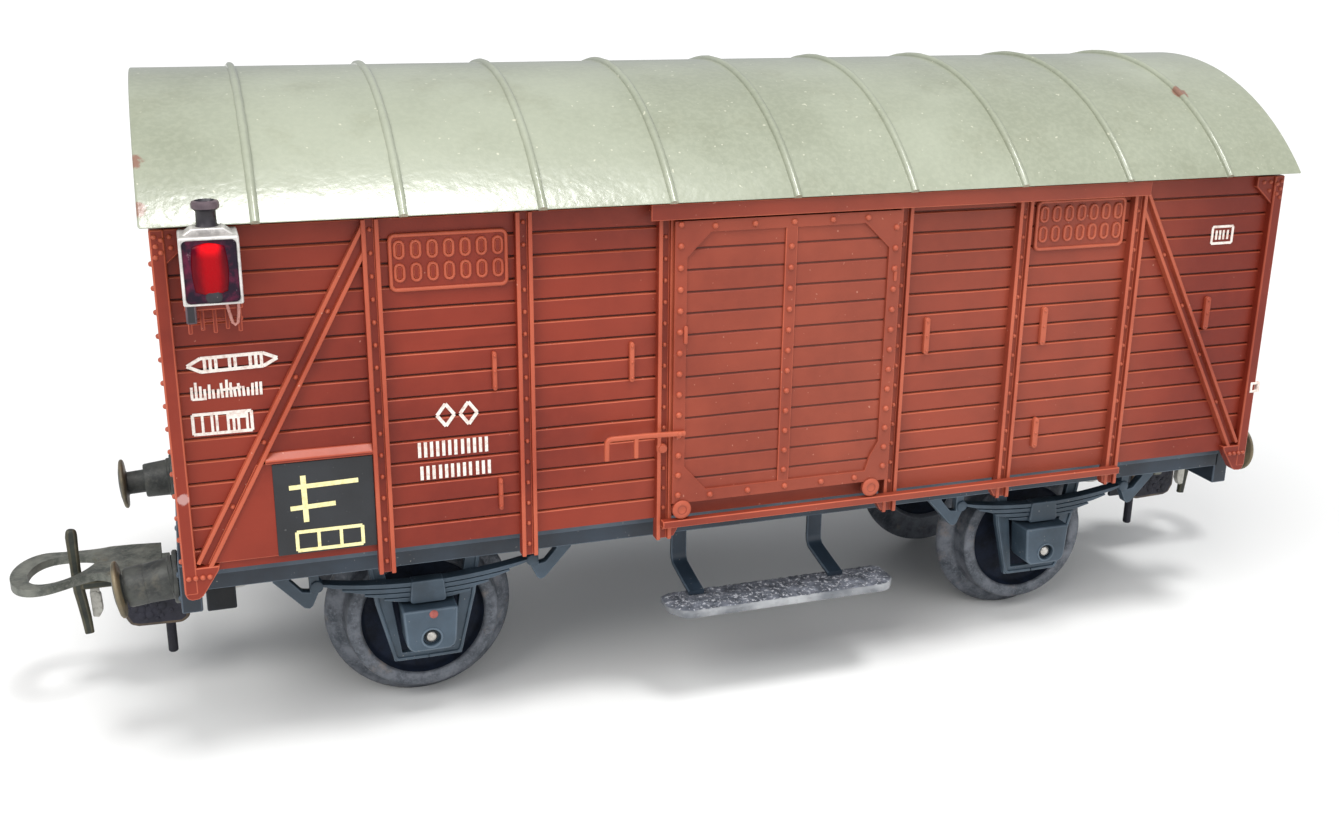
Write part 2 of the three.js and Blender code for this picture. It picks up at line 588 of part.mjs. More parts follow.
// The drawbar swings on the pivot screw. Its deep head carries the loop's hinge and a trip pin.
const drawbarOutline = [
  [-47.8, 4.6], [-43.3, 4.35], [-43.3, 7.0], [-37.6, 7.0], [-37.6, DRAWBAR_TOP_Z],
  [-48.1, DRAWBAR_TOP_Z], [-48.1, 6.2],
];
const drawbar = cut(joined([
  alongY(drawbarOutline, -DRAWBAR_HALF_WIDTH, DRAWBAR_HALF_WIDTH),
  rodZ(PIVOT_X, 0, 1.8, DRAWBAR_TOP_Z - 0.1, 9.4),
  rodZ(TRIP_PIN_X, 0, TRIP_PIN_RADIUS, 1.0, 4.9, 10),
]), [
  rodZ(PIVOT_X, 0, 0.62, 6, 10),
  rodY(LOOP_HINGE_X, LOOP_HINGE_Z, HINGE_PIN_RADIUS + 0.08, -4, 4, 12),
]);
addAtBothEnds('coupling_drawbar', drawbar, couplingGrey);

const pivotScrew = joined([rodZ(PIVOT_X, 0, 1.2, 6.2, 6.9), rodZ(PIVOT_X, 0, 0.5, 6.8, 13.3)]);
addAtBothEnds('coupling_pivot_screw', pivotScrew, brightSteel);

const hook = alongY([
  [-48.15, 7.25], [-48.15, 7.95], [-50.6, 7.95], [-50.9, 12.2], [-51.5, 12.2], [-51.45, 8.3],
  [-51.35, 6.8], [-51.0, 3.6], [-50.4, 3.6], [-50.6, 7.25],
].reverse(), -0.45, 0.45);
addAtBothEnds('coupling_hook', hook, couplingGrey);

// The loop: a plate over the drawbar's head, drawn out into a lopsided bow, with a hinge lug each side.
function couplingLoop() {
  const bow = new THREE.Shape();
  bow.moveTo(-44.95, -3.0);
  bow.lineTo(-44.95, 3.0);
  bow.lineTo(-47.2, 3.3);
  bow.bezierCurveTo(-48.7, 3.35, -51.6, 3.2, -53.0, 3.42);
  bow.bezierCurveTo(-54.6, 3.6, -55.75, 1.6, -55.75, -0.4);
  bow.bezierCurveTo(-55.7, -2.4, -54.9, -3.4, -53.7, -3.4);
  bow.bezierCurveTo(-52.3, -3.4, -51.0, -1.9, -49.7, -1.7);
  bow.bezierCurveTo(-48.9, -1.7, -48.5, -2.9, -47.6, -3.0);
  const eye = new THREE.Path();
  eye.moveTo(-49.5, 1.0);
  eye.bezierCurveTo(-49.6, 2.0, -51.0, 2.3, -52.2, 2.3);
  eye.bezierCurveTo(-53.7, 2.3, -54.5, 0.8, -54.5, -0.8);
  eye.bezierCurveTo(-54.5, -2.0, -54.0, -2.6, -53.2, -2.6);
  eye.bezierCurveTo(-51.7, -2.6, -50.2, -0.9, -49.5, 1.0);
  bow.holes.push(eye);
  const plate = new THREE.ExtrudeGeometry(bow, {
    depth: LOOP_THICKNESS,
    bevelEnabled: false,
    curveSegments: 6,
  });
  const lugs = [
    block(-45.75, -44.95, 2.45, 3.0, 6.95, LOOP_BOTTOM_Z + 0.2),
    block(-45.75, -44.95, -3.0, -2.45, 6.95, LOOP_BOTTOM_Z + 0.2),
  ];
  return cut(joined([solidOf(plate.translate(0, 0, LOOP_BOTTOM_Z)), ...lugs]),
    [rodY(LOOP_HINGE_X, LOOP_HINGE_Z, HINGE_PIN_RADIUS + 0.08, -4, 4, 12)]);
}

addAtBothEnds('coupling_loop', couplingLoop(), couplingGrey);
const hingePin = rodY(LOOP_HINGE_X, LOOP_HINGE_Z, HINGE_PIN_RADIUS, -3.15, 3.15, 12);
addAtBothEnds('coupling_hinge_pin', hingePin, brightSteel);

// ---------------------------------------------------------------- step boards
function stepBoard() {
  const corner = 1.6;
  const outline = new THREE.Shape();
  outline.moveTo(-STEP_HALF_LENGTH, STEP_BACK_Y);
  outline.lineTo(-STEP_HALF_LENGTH, STEP_FRONT_Y + corner);
  outline.quadraticCurveTo(-STEP_HALF_LENGTH, STEP_FRONT_Y, -STEP_HALF_LENGTH + corner, STEP_FRONT_Y);
  outline.lineTo(STEP_HALF_LENGTH - corner, STEP_FRONT_Y);
  outline.quadraticCurveTo(STEP_HALF_LENGTH, STEP_FRONT_Y, STEP_HALF_LENGTH, STEP_FRONT_Y + corner);
  outline.lineTo(STEP_HALF_LENGTH, STEP_BACK_Y);
  const board = new THREE.ExtrudeGeometry(outline, {
    depth: STEP_THICKNESS,
    bevelEnabled: false,
    curveSegments: 5,
  });
  return solidOf(board.translate(STEP_MIDDLE_X, 0, STEP_TOP_Z - STEP_THICKNESS));
}

addOnBothSides('step_board', stepBoard(), boardBlack);

const stepBracket = alongX([
  [-10.0, 13.3], [-10.4, 13.3], [-10.4, 8.1], [-14.6, 7.35], [-14.6, 7.0], [-10.0, 7.75],
], -0.65, 0.65);
addAtFourPlaces('step_bracket', stepBracket, frameBlack, STEP_BRACKET_X);

// ---------------------------------------------------------------- notice panels and tail lamps
const panelBackY = -WALL_Y - 0.05;
const noticePanel = joined([
  block(PANEL_START_X, PANEL_END_X, PANEL_FRONT_Y, panelBackY, PANEL_BOTTOM_Z, PANEL_TOP_Z),
  block(PANEL_START_X - 0.05, PANEL_END_X + 0.05, LEDGE_FRONT_Y, panelBackY,
    PANEL_TOP_Z - 0.05, LEDGE_TOP_Z),
]);
addOnBothSides('notice_panel', noticePanel, panelBlack);

// A tail lamp stands out from each corner of the left end.
function lampCase() {
  const middleY = (LAMP_FRONT_Y + LAMP_BACK_Y) / 2;
  const housing = block(LAMP_X - LAMP_HALF_WIDTH, LAMP_X + LAMP_HALF_WIDTH, LAMP_FRONT_Y, LAMP_BACK_Y,
    LAMP_BOTTOM_Z, LAMP_TOP_Z);
  const recess = block(LAMP_X - 1.5, LAMP_X + 1.5, LAMP_FRONT_Y - 1, LAMP_FRONT_Y + 0.5,
    LAMP_BOTTOM_Z + 0.3, LAMP_TOP_Z - 0.45);
  const chimney = [
    rodZ(LAMP_X, middleY, CHIMNEY_RADIUS, LAMP_TOP_Z - 0.2, 39.5, 12),
    rodZ(LAMP_X, middleY, CHIMNEY_CAP_RADIUS, 39.4, 40.0, 12),
  ];
  return joined([housing.subtract(recess), ...chimney]);
}

function lampLens() {
  const outline = Array.from({ length: 16 }, (_, i) => {
    const angle = 2 * Math.PI * i / 16;
    return [LAMP_X + 1.0 * Math.cos(angle), (LAMP_BOTTOM_Z + LAMP_TOP_Z) / 2 + 1.45 * Math.sin(angle)];
  });
  return alongY(outline, LAMP_FRONT_Y + 0.05, LAMP_FRONT_Y + 0.45);
}

// The bracket is a toothed clip under the lamp that reaches back to the wall.
const lampBracket = joined([
  block(-41.45, -37.95, -18.3, -WALL_Y - 0.05, 32.9, 33.6),
  block(-41.3, -38.1, -WALL_Y - 0.75, -WALL_Y - 0.05, 33.5, 36.9),
  ...[-41.2, -40.2, -39.2, -38.2].map((x) => block(x - 0.2, x + 0.2, -18.3, -17.9, 31.6, 33.0)),
]);

for (const [side, sign] of [['front', 1], ['back', -1]]) {
  const placed = (solid) => (sign > 0 ? solid : solid.mirror([0, 1, 0]));
  addPart(`tail_lamp_case_${side}`, placed(lampCase()), lampSilver);
  addPart(`tail_lamp_lens_${side}`, placed(lampLens()), lensRed);
  addPart(`tail_lamp_bracket_${side}`, placed(lampBracket), bodyRed);
}

export default wagon;
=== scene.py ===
import math
import random

import bmesh
import bpy
from mathutils import Matrix, Vector, noise


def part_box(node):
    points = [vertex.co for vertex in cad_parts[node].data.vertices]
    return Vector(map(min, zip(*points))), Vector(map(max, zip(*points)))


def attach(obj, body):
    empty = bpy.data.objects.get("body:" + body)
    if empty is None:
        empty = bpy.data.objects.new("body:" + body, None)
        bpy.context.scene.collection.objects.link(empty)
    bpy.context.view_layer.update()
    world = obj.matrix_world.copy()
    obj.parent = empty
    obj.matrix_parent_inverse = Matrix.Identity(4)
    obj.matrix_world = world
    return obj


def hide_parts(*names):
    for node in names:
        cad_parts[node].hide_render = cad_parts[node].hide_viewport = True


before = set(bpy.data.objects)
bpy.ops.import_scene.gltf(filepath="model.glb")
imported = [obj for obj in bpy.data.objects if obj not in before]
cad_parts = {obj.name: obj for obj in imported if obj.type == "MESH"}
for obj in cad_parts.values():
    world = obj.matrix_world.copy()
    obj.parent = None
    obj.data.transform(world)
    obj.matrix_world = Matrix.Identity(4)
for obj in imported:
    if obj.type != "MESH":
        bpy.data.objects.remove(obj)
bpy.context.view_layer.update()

# The looks of an H0 covered goods wagon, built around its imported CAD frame.
# Sizes are in millimetres. Heights are measured from the rail top, and "out" is the distance of a
# surface from the wagon's middle plane. Side pieces are modelled on the front side, end pieces on
# the left end, and their copies are turned half a turn about the vertical. Only the tail lamps are
# mirrored instead, because both of them are on the left end.

MM = 0.001
# EDGE marks the lighter finish of worn rounded edges; on some faces and rivet heads it is a painted
# highlight.
BASE, EDGE, GROOVE = 0, 1, 2
BEVEL_ANGLE = math.radians(30)
SHARP_ANGLE = math.radians(50)
TREAD_RADIUS = 5.8
SIDES = (("front", False), ("back", True))
ENDS = (("left", False), ("right", True))
END_SIGNS = (("left", -1), ("right", 1))


def cad_box_mm(node):
    """The lowest and highest corner of a CAD node in millimetres, above the frame's origin."""
    return [[c / MM for c in corner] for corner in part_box(node)]


# ---------------------------------------- sizes taken from the frame
WHEEL_LOW, WHEEL_HIGH = cad_box_mm("wheel_front_right")
FLANGE_RADIUS = (WHEEL_HIGH[2] - WHEEL_LOW[2]) / 2
AXLE_X = (WHEEL_HIGH[0] + WHEEL_LOW[0]) / 2
RAIL_TOP = FLANGE_RADIUS - TREAD_RADIUS
SHELL_LOW, SHELL_HIGH = cad_box_mm("body_shell")
CORNER_X = SHELL_HIGH[0]
POST_OUT = SHELL_HIGH[1]
POST_BOTTOM = SHELL_LOW[2] - RAIL_TOP
DOOR_HIGH = cad_box_mm("door_front")[1]
DOOR_HALF = DOOR_HIGH[0]
DOOR_TOP = DOOR_HIGH[2] - RAIL_TOP
TRACK_LOW, TRACK_HIGH = cad_box_mm("door_track_lower_front")
TRACK_TOP = TRACK_HIGH[2] - RAIL_TOP
ROOF_LOW, ROOF_HIGH = cad_box_mm("roof")
ROOF_END = ROOF_HIGH[0]
EAVE = ROOF_LOW[2] - RAIL_TOP
STEP_LOW, STEP_HIGH = cad_box_mm("step_board_front")
BUFFER_LOW, BUFFER_HIGH = cad_box_mm("buffer_front_left")
LAMP_LOW, LAMP_HIGH = cad_box_mm("tail_lamp_case_front")

# ---------------------------------------- sizes of the finer shapes
BODY_END = 42.6
WALL_OUT = POST_OUT - 0.6
WALL_BACK = WALL_OUT - 1.0
BODY_BOTTOM = 14.4
WALL_TOP = 38.5
POST_TOP = 37.8
PLANK = 1.56
FIRST_JOINT = 14.43
GROOVE_DEPTH = 0.24
DOOR_GROOVE_DEPTH = 0.1
GROOVE_LIP = 0.04
GROOVE_HEIGHTS = (-0.16, -0.1, -0.05, 0.04, 0.09, 0.13)
JOINT_MARGIN = 0.25
WANDER_STEP = 2.4
POSTS = (-29.65, -19.45, -9.3, 9.3, 19.45, 29.65)
POST_HALF = 0.575
CHANNEL_HALF = 0.28
CHANNEL_DEPTH = 0.35
END_POST_Y = 5.4
END_STRAP_HEIGHTS = (20.6, 31.5)
END_STRAP_FACE = BODY_END + 0.28
DOORWAY_HALF = 8.4
DOORWAY_BOTTOM = 16.0
DOORWAY_TOP = 36.4
DOOR_BACK = 16.72
DOOR_PANEL = 16.84
DOOR_FRAME = 17.04
DOOR_BOTTOM = 15.75
DOOR_RIGHT = 8.72
DOOR_RIVET_PITCH = 1.545
ROLLER_RADIUS = 0.72
ROOF_HALF_WIDTH = 17.8
CROWN = 46.2
ROOF_THICKNESS = 0.8
RIB_SPACING = 9.2
ARCH_RISE = CROWN - EAVE
ARCH_RADIUS = (ROOF_HALF_WIDTH ** 2 + ARCH_RISE ** 2) / (2 * ARCH_RISE)
ARCH_CENTRE = CROWN - ARCH_RADIUS
SOLEBAR_OUT = 14.2
HEADSTOCK_X = 43.5
PIVOT_X = -39.5


# ---------------------------------------- procedural materials
def linear(colour):
    """The linear colour of display values from 0 to 255. A socket stays what it is."""
    if isinstance(colour, bpy.types.NodeSocket):
        return colour
    values = [c / 255 for c in colour]
    return [c / 12.92 if c <= 0.04045 else ((c + 0.055) / 1.055) ** 2.4 for c in values] + [1]


class Finish:
    """One node material. Patterns are placed in the row frame, so sizes are real ones."""

    def __init__(self, name, roughness=0.5, metallic=0.0, coat=0.0, shine=0.5):
        self.material = bpy.data.materials.new(name)
        self.material.use_nodes = True
        self.tree = self.material.node_tree
        self.shader = self.tree.nodes["Principled BSDF"]
        for socket, value in (("Roughness", roughness), ("Metallic", metallic), ("Coat Weight", coat),
                              ("Specular IOR Level", shine), ("Coat Roughness", 0.2)):
            self.shader.inputs[socket].default_value = value
        self.place = self.tree.nodes.new("ShaderNodeTexCoord").outputs["Object"]

    def feed(self, socket, value):
        """Links a socket to another one, or sets its value."""
        if isinstance(value, bpy.types.NodeSocket):
            self.tree.links.new(value, socket)
        else:
            socket.default_value = value

    def node(self, kind, inputs, **settings):
        made = self.tree.nodes.new(kind)
        for key, value in settings.items():
            setattr(made, key, value)
        for key, value in inputs.items():
            self.feed(made.inputs[key], value)
        return made

    def math(self, operation, a, b=0.0):
        return self.node("ShaderNodeMath", {0: a, 1: b}, operation=operation).outputs[0]

    def noise(self, size_mm, detail=3.0, roughness=0.55, stretch=(1, 1, 1), shift=0.0):
        """Noise from 0 to 1 whose features are about size_mm across."""
        mapping = self.node("ShaderNodeMapping",
                            {"Scale": stretch, "Location": (shift, shift, shift), "Vector": self.place})
        made = self.node("ShaderNodeTexNoise", {"Vector": mapping.outputs["Vector"], "Detail": detail,
                                                "Scale": 1 / (size_mm * MM), "Roughness": roughness})
        return made.outputs["Fac"]

    def band(self, value, low, high):
        """Rises from 0 to 1 as value goes from low to high."""
        inputs = {"Value": value, "From Min": low, "From Max": high}
        return self.node("ShaderNodeMapRange", inputs, interpolation_type="SMOOTHSTEP").outputs["Result"]

    def span(self, value, low, high):
        """Maps 0..1 to low..high."""
        inputs = {"Value": value, "To Min": low, "To Max": high}
        return self.node("ShaderNodeMapRange", inputs).outputs["Result"]

    def mix(self, amount, a, b):
        """From colour a to colour b as amount goes from 0 to 1. Colours are display values or sockets."""
        inputs = {"Factor": amount, "A": linear(a), "B": linear(b)}
        return self.node("ShaderNodeMix", inputs, data_type="RGBA").outputs["Result"]

    def blend(self, body, colour, share, mask):
        """The body, with a share of another colour where the mask is 1."""
        return self.mix(self.math("MULTIPLY", mask, share), body, colour)

    def patches(self, body, colour, share, low, high, *grain, **place):
        """The body with a share of another colour where a noise goes from low to high."""
        return self.blend(body, colour, share, self.band(self.noise(*grain, **place), low, high))

    def near(self, centre_mm, radius_mm, ragged_mm=0.5):
        """1 within a ragged blob about a point given in millimetres above the rail top."""
        x, y, z = centre_mm
        centre = (x * MM, y * MM, (z + RAIL_TOP) * MM)
        away = self.node("ShaderNodeVectorMath", {0: self.place, 1: centre}, operation="DISTANCE")
        frayed = self.math("MULTIPLY", self.noise(ragged_mm, 4.0, 0.7), radius_mm * MM)
        reach = self.math("SUBTRACT", away.outputs["Value"], frayed)
        return self.math("SUBTRACT", 1.0, self.band(reach, 0.2 * radius_mm * MM, 0.5 * radius_mm * MM))

    def axis_mm(self, axis):
        """A coordinate in the row frame in millimetres."""
        split = self.node("ShaderNodeSeparateXYZ", {0: self.place})
        return self.math("MULTIPLY", split.outputs[axis], 1 / MM)

    def bump(self, height, depth_mm):
        """Adds relief on top of what is there already."""
        normal = self.shader.inputs["Normal"]
        made = self.node("ShaderNodeBump", {"Distance": depth_mm * MM, "Strength": 1.0, "Height": height})
        if normal.is_linked:
            self.feed(made.inputs["Normal"], normal.links[0].from_socket)
        self.feed(normal, made.outputs["Normal"])
        self.feed(self.shader.inputs["Coat Normal"], made.outputs["Normal"])

    def finish(self, colour, low, high, size_mm, *reliefs):
        """The material in this colour, with a roughness from low to high and reliefs of (depth, noise)."""
        self.feed(self.shader.inputs["Base Color"], colour)
        self.feed(self.shader.inputs["Roughness"], self.span(self.noise(size_mm, 4.0), low, high))
        for depth_mm, *grain in reliefs:
            self.bump(self.noise(*grain), depth_mm)
        return self.material


def red_plastic(name, dark, light, speck, low, high):
    """Moulded red-brown plastic: soft shade changes, dust specks and a faintly uneven satin skin, with a
    painted sheen band along the middle and painted shade over the far right bay.
    """
    f = Finish(name, shine=0.3)
    body = f.patches(dark, light, 1, 0.35, 0.68, 9.0)
    body = f.patches(body, light, 0.25, 0.3, 0.75, 0.9, 4.0)
    body = f.patches(body, dark, 0.22, 0.5, 0.8, 1.1, stretch=(0.12, 0.12, 1.0), shift=0.3)
    body = f.patches(body, speck, 0.45, 0.765, 0.79, 0.3, 1.0, shift=0.7)
    # Painted sheen and painted shade, set by the position along the wagon: a paler, milkier band from left
    # of the middle to the right bay, then a darker far right bay.
    along = f.axis_mm("X")
    painted_far_shade = f.band(along, 27.0, 38.0)
    painted_sheen = f.math("MULTIPLY", f.band(along, -25.0, 12.0), f.math("SUBTRACT", 1.0, painted_far_shade))
    body = f.blend(body, (180, 112, 88), 0.16, painted_sheen)
    body = f.blend(body, (84, 30, 20), 0.3, painted_far_shade)
    body = f.blend(body, (232, 204, 200), 0.36, f.near((-CORNER_X + 0.5, -POST_OUT, 19.9), 0.45, 0.35))
    return f.finish(body, low, high, 2.5, (0.035, 2.6, 2.0), (0.006, 0.22))


def roof_plastic():
    """Grey-green sprayed roof: orange peel, faint patches, and chips that show the red-brown below."""
    f = Finish("roof_grey", coat=1.0, shine=0.4)
    body = f.patches((138, 143, 123), (160, 165, 146), 1, 0.3, 0.7, 16.0)
    body = f.patches(body, (128, 130, 106), 0.3, 0.5, 0.72, 5.0, 5.0, 0.65, shift=0.2)
    body = f.patches(body, (176, 179, 158), 0.2, 0.35, 0.7, 0.4, 2.0)
    body = f.patches(body, (214, 212, 190), 0.6, 0.74, 0.78, 0.4, 1.0, shift=0.5)
    chips = 0.0
    for spot, size in (((-ROOF_END, -14.2, 42.1), 0.9), ((-ROOF_END, -16.9, 39.3), 0.7),
                       ((36.9, -10.4, 43.9), 0.8), ((ROOF_END, 6.0, 45.3), 0.8)):
        chips = f.math("MAXIMUM", chips, f.near(spot, size))
    body = f.blend(body, (128, 74, 56), 0.8, chips)
    return f.finish(body, 0.36, 0.5, 4.0, (0.03, 1.3, 2.0), (0.012, 0.4, 2.0))


def slate_plastic(name, dark, light, low, high, speck=(150, 148, 142)):
    """Black moulded plastic, dusted to a slate grey."""
    f = Finish(name)
    body = f.patches(dark, light, 1, 0.3, 0.72, 5.0, 4.0)
    body = f.patches(body, light, 0.35, 0.52, 0.8, 0.6, 5.0, 0.7, shift=0.4)
    body = f.patches(body, speck, 0.5, 0.74, 0.78, 0.28, 1.0, shift=0.9)
    return f.finish(body, low, high, 1.6, (0.012, 0.35))


def worn_metal(name, dark, light, wear, metallic, low, high, grain=0.5, shine=0.5):
    """Stamped or turned metal with a dull skin, brown or bright where it is worn."""
    f = Finish(name, metallic=metallic, shine=shine)
    body = f.patches(dark, light, 1, 0.32, 0.7, 1.6, 5.0, 0.65)
    body = f.patches(body, light, grain, 0.45, 0.75, 0.28, 3.0, 0.7, shift=0.2)
    body = f.patches(body, wear, 0.55, 0.56, 0.74, 2.2, 5.0, 0.7, shift=0.6)
    return f.finish(body, low, high, 0.9, (0.03, 0.5, 4.0, 0.65))


def board_material():
    """Rough black deck of the step board: granular, with pale dust in it."""
    f = Finish("board_black")
    body = f.patches((56, 60, 68), (108, 112, 122), 1, 0.35, 0.7, 1.2, 5.0, 0.7)
    body = f.patches(body, (198, 200, 206), 0.75, 0.52, 0.66, 0.3, 3.0, 0.7, shift=0.2)
    return f.finish(body, 0.6, 0.85, 0.8, (0.1, 0.45, 4.0, 0.7))


def paint(name, colour, shade, roughness):
    """Thin print or brushed paint, a little uneven in cover."""
    f = Finish(name)
    body = f.patches(colour, shade, 1, 0.42, 0.75, 0.35, 4.0, 0.7)
    return f.finish(body, roughness - 0.08, roughness + 0.08, 0.7, (0.008, 0.25, 2.0))


def lens_material():
    """Clear red lens with a painted glow bright along its upright middle, and painted shade deep at its rim
    and its ends.
    """
    f = Finish("lens_red", shine=0.12)
    x, _, z = [(low + high) / 2 for low, high in zip(LAMP_LOW, LAMP_HIGH)]
    # Painted light: bright down the lens's upright middle, with painted shade towards its rim and its top
    # and bottom ends.
    off = f.math("ABSOLUTE", f.math("SUBTRACT", f.axis_mm("X"), x))
    wobble = f.math("MULTIPLY", f.math("SUBTRACT", f.noise(0.6, 4.0, 0.7, stretch=(1, 1, 0.3)), 0.5), 0.7)
    deep = f.mix(f.band(f.math("ADD", off, wobble), 0.2, 0.95), (238, 2, 18), (70, 4, 24))
    ends = f.band(f.math("ABSOLUTE", f.math("SUBTRACT", f.axis_mm("Z"), z + RAIL_TOP)), 0.9, 1.7)
    body = f.blend(deep, (96, 2, 12), 0.7, ends)
    f.bump(f.noise(0.5, 3.0, stretch=(1, 1, 0.25)), 0.05)
    return f.finish(body, 0.12, 0.3, 0.6)


def pane_material():
    """Dark glossy recess round the lens, smudged with purple and silver."""
    f = Finish("lamp_pane", shine=0.2)
    body = f.patches((28, 12, 32), (92, 22, 52), 1, 0.4, 0.7, 0.9, 4.0, 0.7)
    body = f.patches(body, (150, 132, 140), 1, 0.62, 0.74, 0.5, 4.0, 0.7, shift=0.4)
    return f.finish(body, 0.25, 0.5, 0.7, (0.03, 0.4))


def edged(make, *rows):
    """One finish per row: the faces, then their rounded edges (also a painted highlight on some faces), then
    the plank joints.
    """
    return [make(*row) for row in rows]


SATIN = (0.38, 0.54)
RED = edged(
    red_plastic,
    ("body_red", (112, 33, 19), (134, 46, 28), (204, 150, 130), *SATIN),
    ("body_red_worn_and_lit", (158, 68, 46), (180, 88, 62), (228, 176, 154), 0.3, 0.44),
    ("body_red_joint", (60, 16, 12), (80, 26, 20), (110, 58, 46), 0.45, 0.6))
RED_DOOR = [red_plastic("door_red", (122, 44, 28), (144, 59, 39), (204, 150, 130), *SATIN), RED[1], RED[2]]
ROOF = [roof_plastic()]
SLATE = edged(
    slate_plastic,
    ("frame_black", (26, 35, 45), (42, 56, 70), 0.42, 0.6),
    ("frame_black_edge", (56, 68, 81), (82, 95, 108), 0.38, 0.55))
TYRE = worn_metal("wheel_tyre", (52, 58, 66), (104, 108, 116), (126, 114, 106), 0.25, 0.38, 0.58, 0.8)
DISC = worn_metal("wheel_disc", (12, 17, 27), (22, 31, 48), (38, 42, 52), 0.1, 0.6, 0.8, shine=0.2)
STEEL = [worn_metal("bright_steel", (168, 164, 158), (214, 211, 206), (150, 136, 120), 0.9, 0.22, 0.4)]
COUPLING = edged(
    worn_metal,
    ("coupling_grey", (72, 76, 72), (122, 124, 116), (112, 104, 82), 0.35, 0.42, 0.64, 0.8),
    ("coupling_grey_edge", (62, 64, 58), (108, 106, 94), (108, 90, 62), 0.4, 0.36, 0.52))
DARK_METAL = edged(
    worn_metal,
    ("coupling_dark", (30, 34, 30), (54, 58, 50), (74, 62, 44), 0.3, 0.4, 0.6),
    ("coupling_dark_edge", (56, 56, 44), (84, 80, 64), (104, 80, 52), 0.35, 0.36, 0.5))
# A lighter copy of the frame's slate for the axle guards and springs: painted light, brightening them where
# they sit in shade under the body.
GUARD_LIT_SLATE = edged(
    slate_plastic,
    ("guard_lit_slate", (40, 54, 65), (66, 83, 98), 0.42, 0.6),
    ("guard_lit_slate_edge", (56, 70, 82), (86, 102, 116), 0.38, 0.55))
# A darker copy of the black plastic for the coupling pockets: painted shade, for where they sit in shadow
# under the body.
POCKET_SHADED_BLACK = edged(
    slate_plastic,
    ("pocket_shaded_black", (8, 11, 16), (18, 24, 32), 0.6, 0.8, (60, 66, 84)),
    ("pocket_shaded_black_edge", (16, 22, 30), (34, 44, 56), 0.5, 0.7, (80, 86, 104)))
ROUGH_METAL = edged(
    worn_metal,
    ("drawbar_rough", (16, 17, 26), (36, 36, 48), (72, 68, 74), 0.15, 0.55, 0.8, 0.8),
    ("drawbar_edge", (52, 48, 50), (96, 82, 66), (124, 96, 62), 0.3, 0.4, 0.6))
BUFFER = edged(
    worn_metal,
    ("buffer_black", (40, 42, 42), (74, 76, 72), (96, 92, 80), 0.15, 0.42, 0.65, 0.7),
    ("buffer_edge", (78, 74, 62), (120, 108, 84), (136, 108, 70), 0.2, 0.4, 0.6))
BOARD = [board_material(), slate_plastic("board_edge", (84, 88, 94), (164, 166, 168), 0.5, 0.7)]
FLOOR_DARK = [slate_plastic("floor_dark", (34, 36, 40), (52, 55, 60), 0.5, 0.66)]
WHITE = [paint("marking_white", (232, 224, 216), (196, 168, 156), 0.45)]
ROSE = [paint("worn_rose", (196, 138, 128), (158, 84, 70), 0.45)]
CREAM = [paint("marking_cream", (238, 228, 170), (206, 194, 132), 0.45)]
BLACK_PANEL = [slate_plastic("panel_black", (22, 24, 28), (34, 37, 42), 0.38, 0.55, (96, 96, 96))]
SILVER = edged(
    worn_metal,
    ("lamp_silver", (150, 146, 144), (206, 202, 198), (120, 96, 92), 0.35, 0.3, 0.5),
    ("lamp_silver_edge", (190, 186, 182), (226, 222, 218), (150, 122, 112), 0.35, 0.3, 0.45))
LAMP_BLACK = edged(
    slate_plastic,
    ("lamp_black", (24, 22, 28), (44, 38, 46), 0.3, 0.5, (170, 150, 150)),
    ("lamp_black_edge", (60, 50, 58), (120, 100, 106), 0.3, 0.45, (190, 170, 170)))
LENS = [lens_material()]
PANE = [pane_material()]
PALE = [paint("trip_plate_grey", (176, 174, 166), (128, 126, 118), 0.5)]
WEIGHT = worn_metal("weight_steel", (112, 110, 108), (150, 148, 145), (118, 96, 78), 0.8, 0.35, 0.5)
RUST = [worn_metal("axle_box_rust", (132, 62, 56), (176, 96, 88), (92, 50, 48), 0.1, 0.5, 0.7, 0.8)]


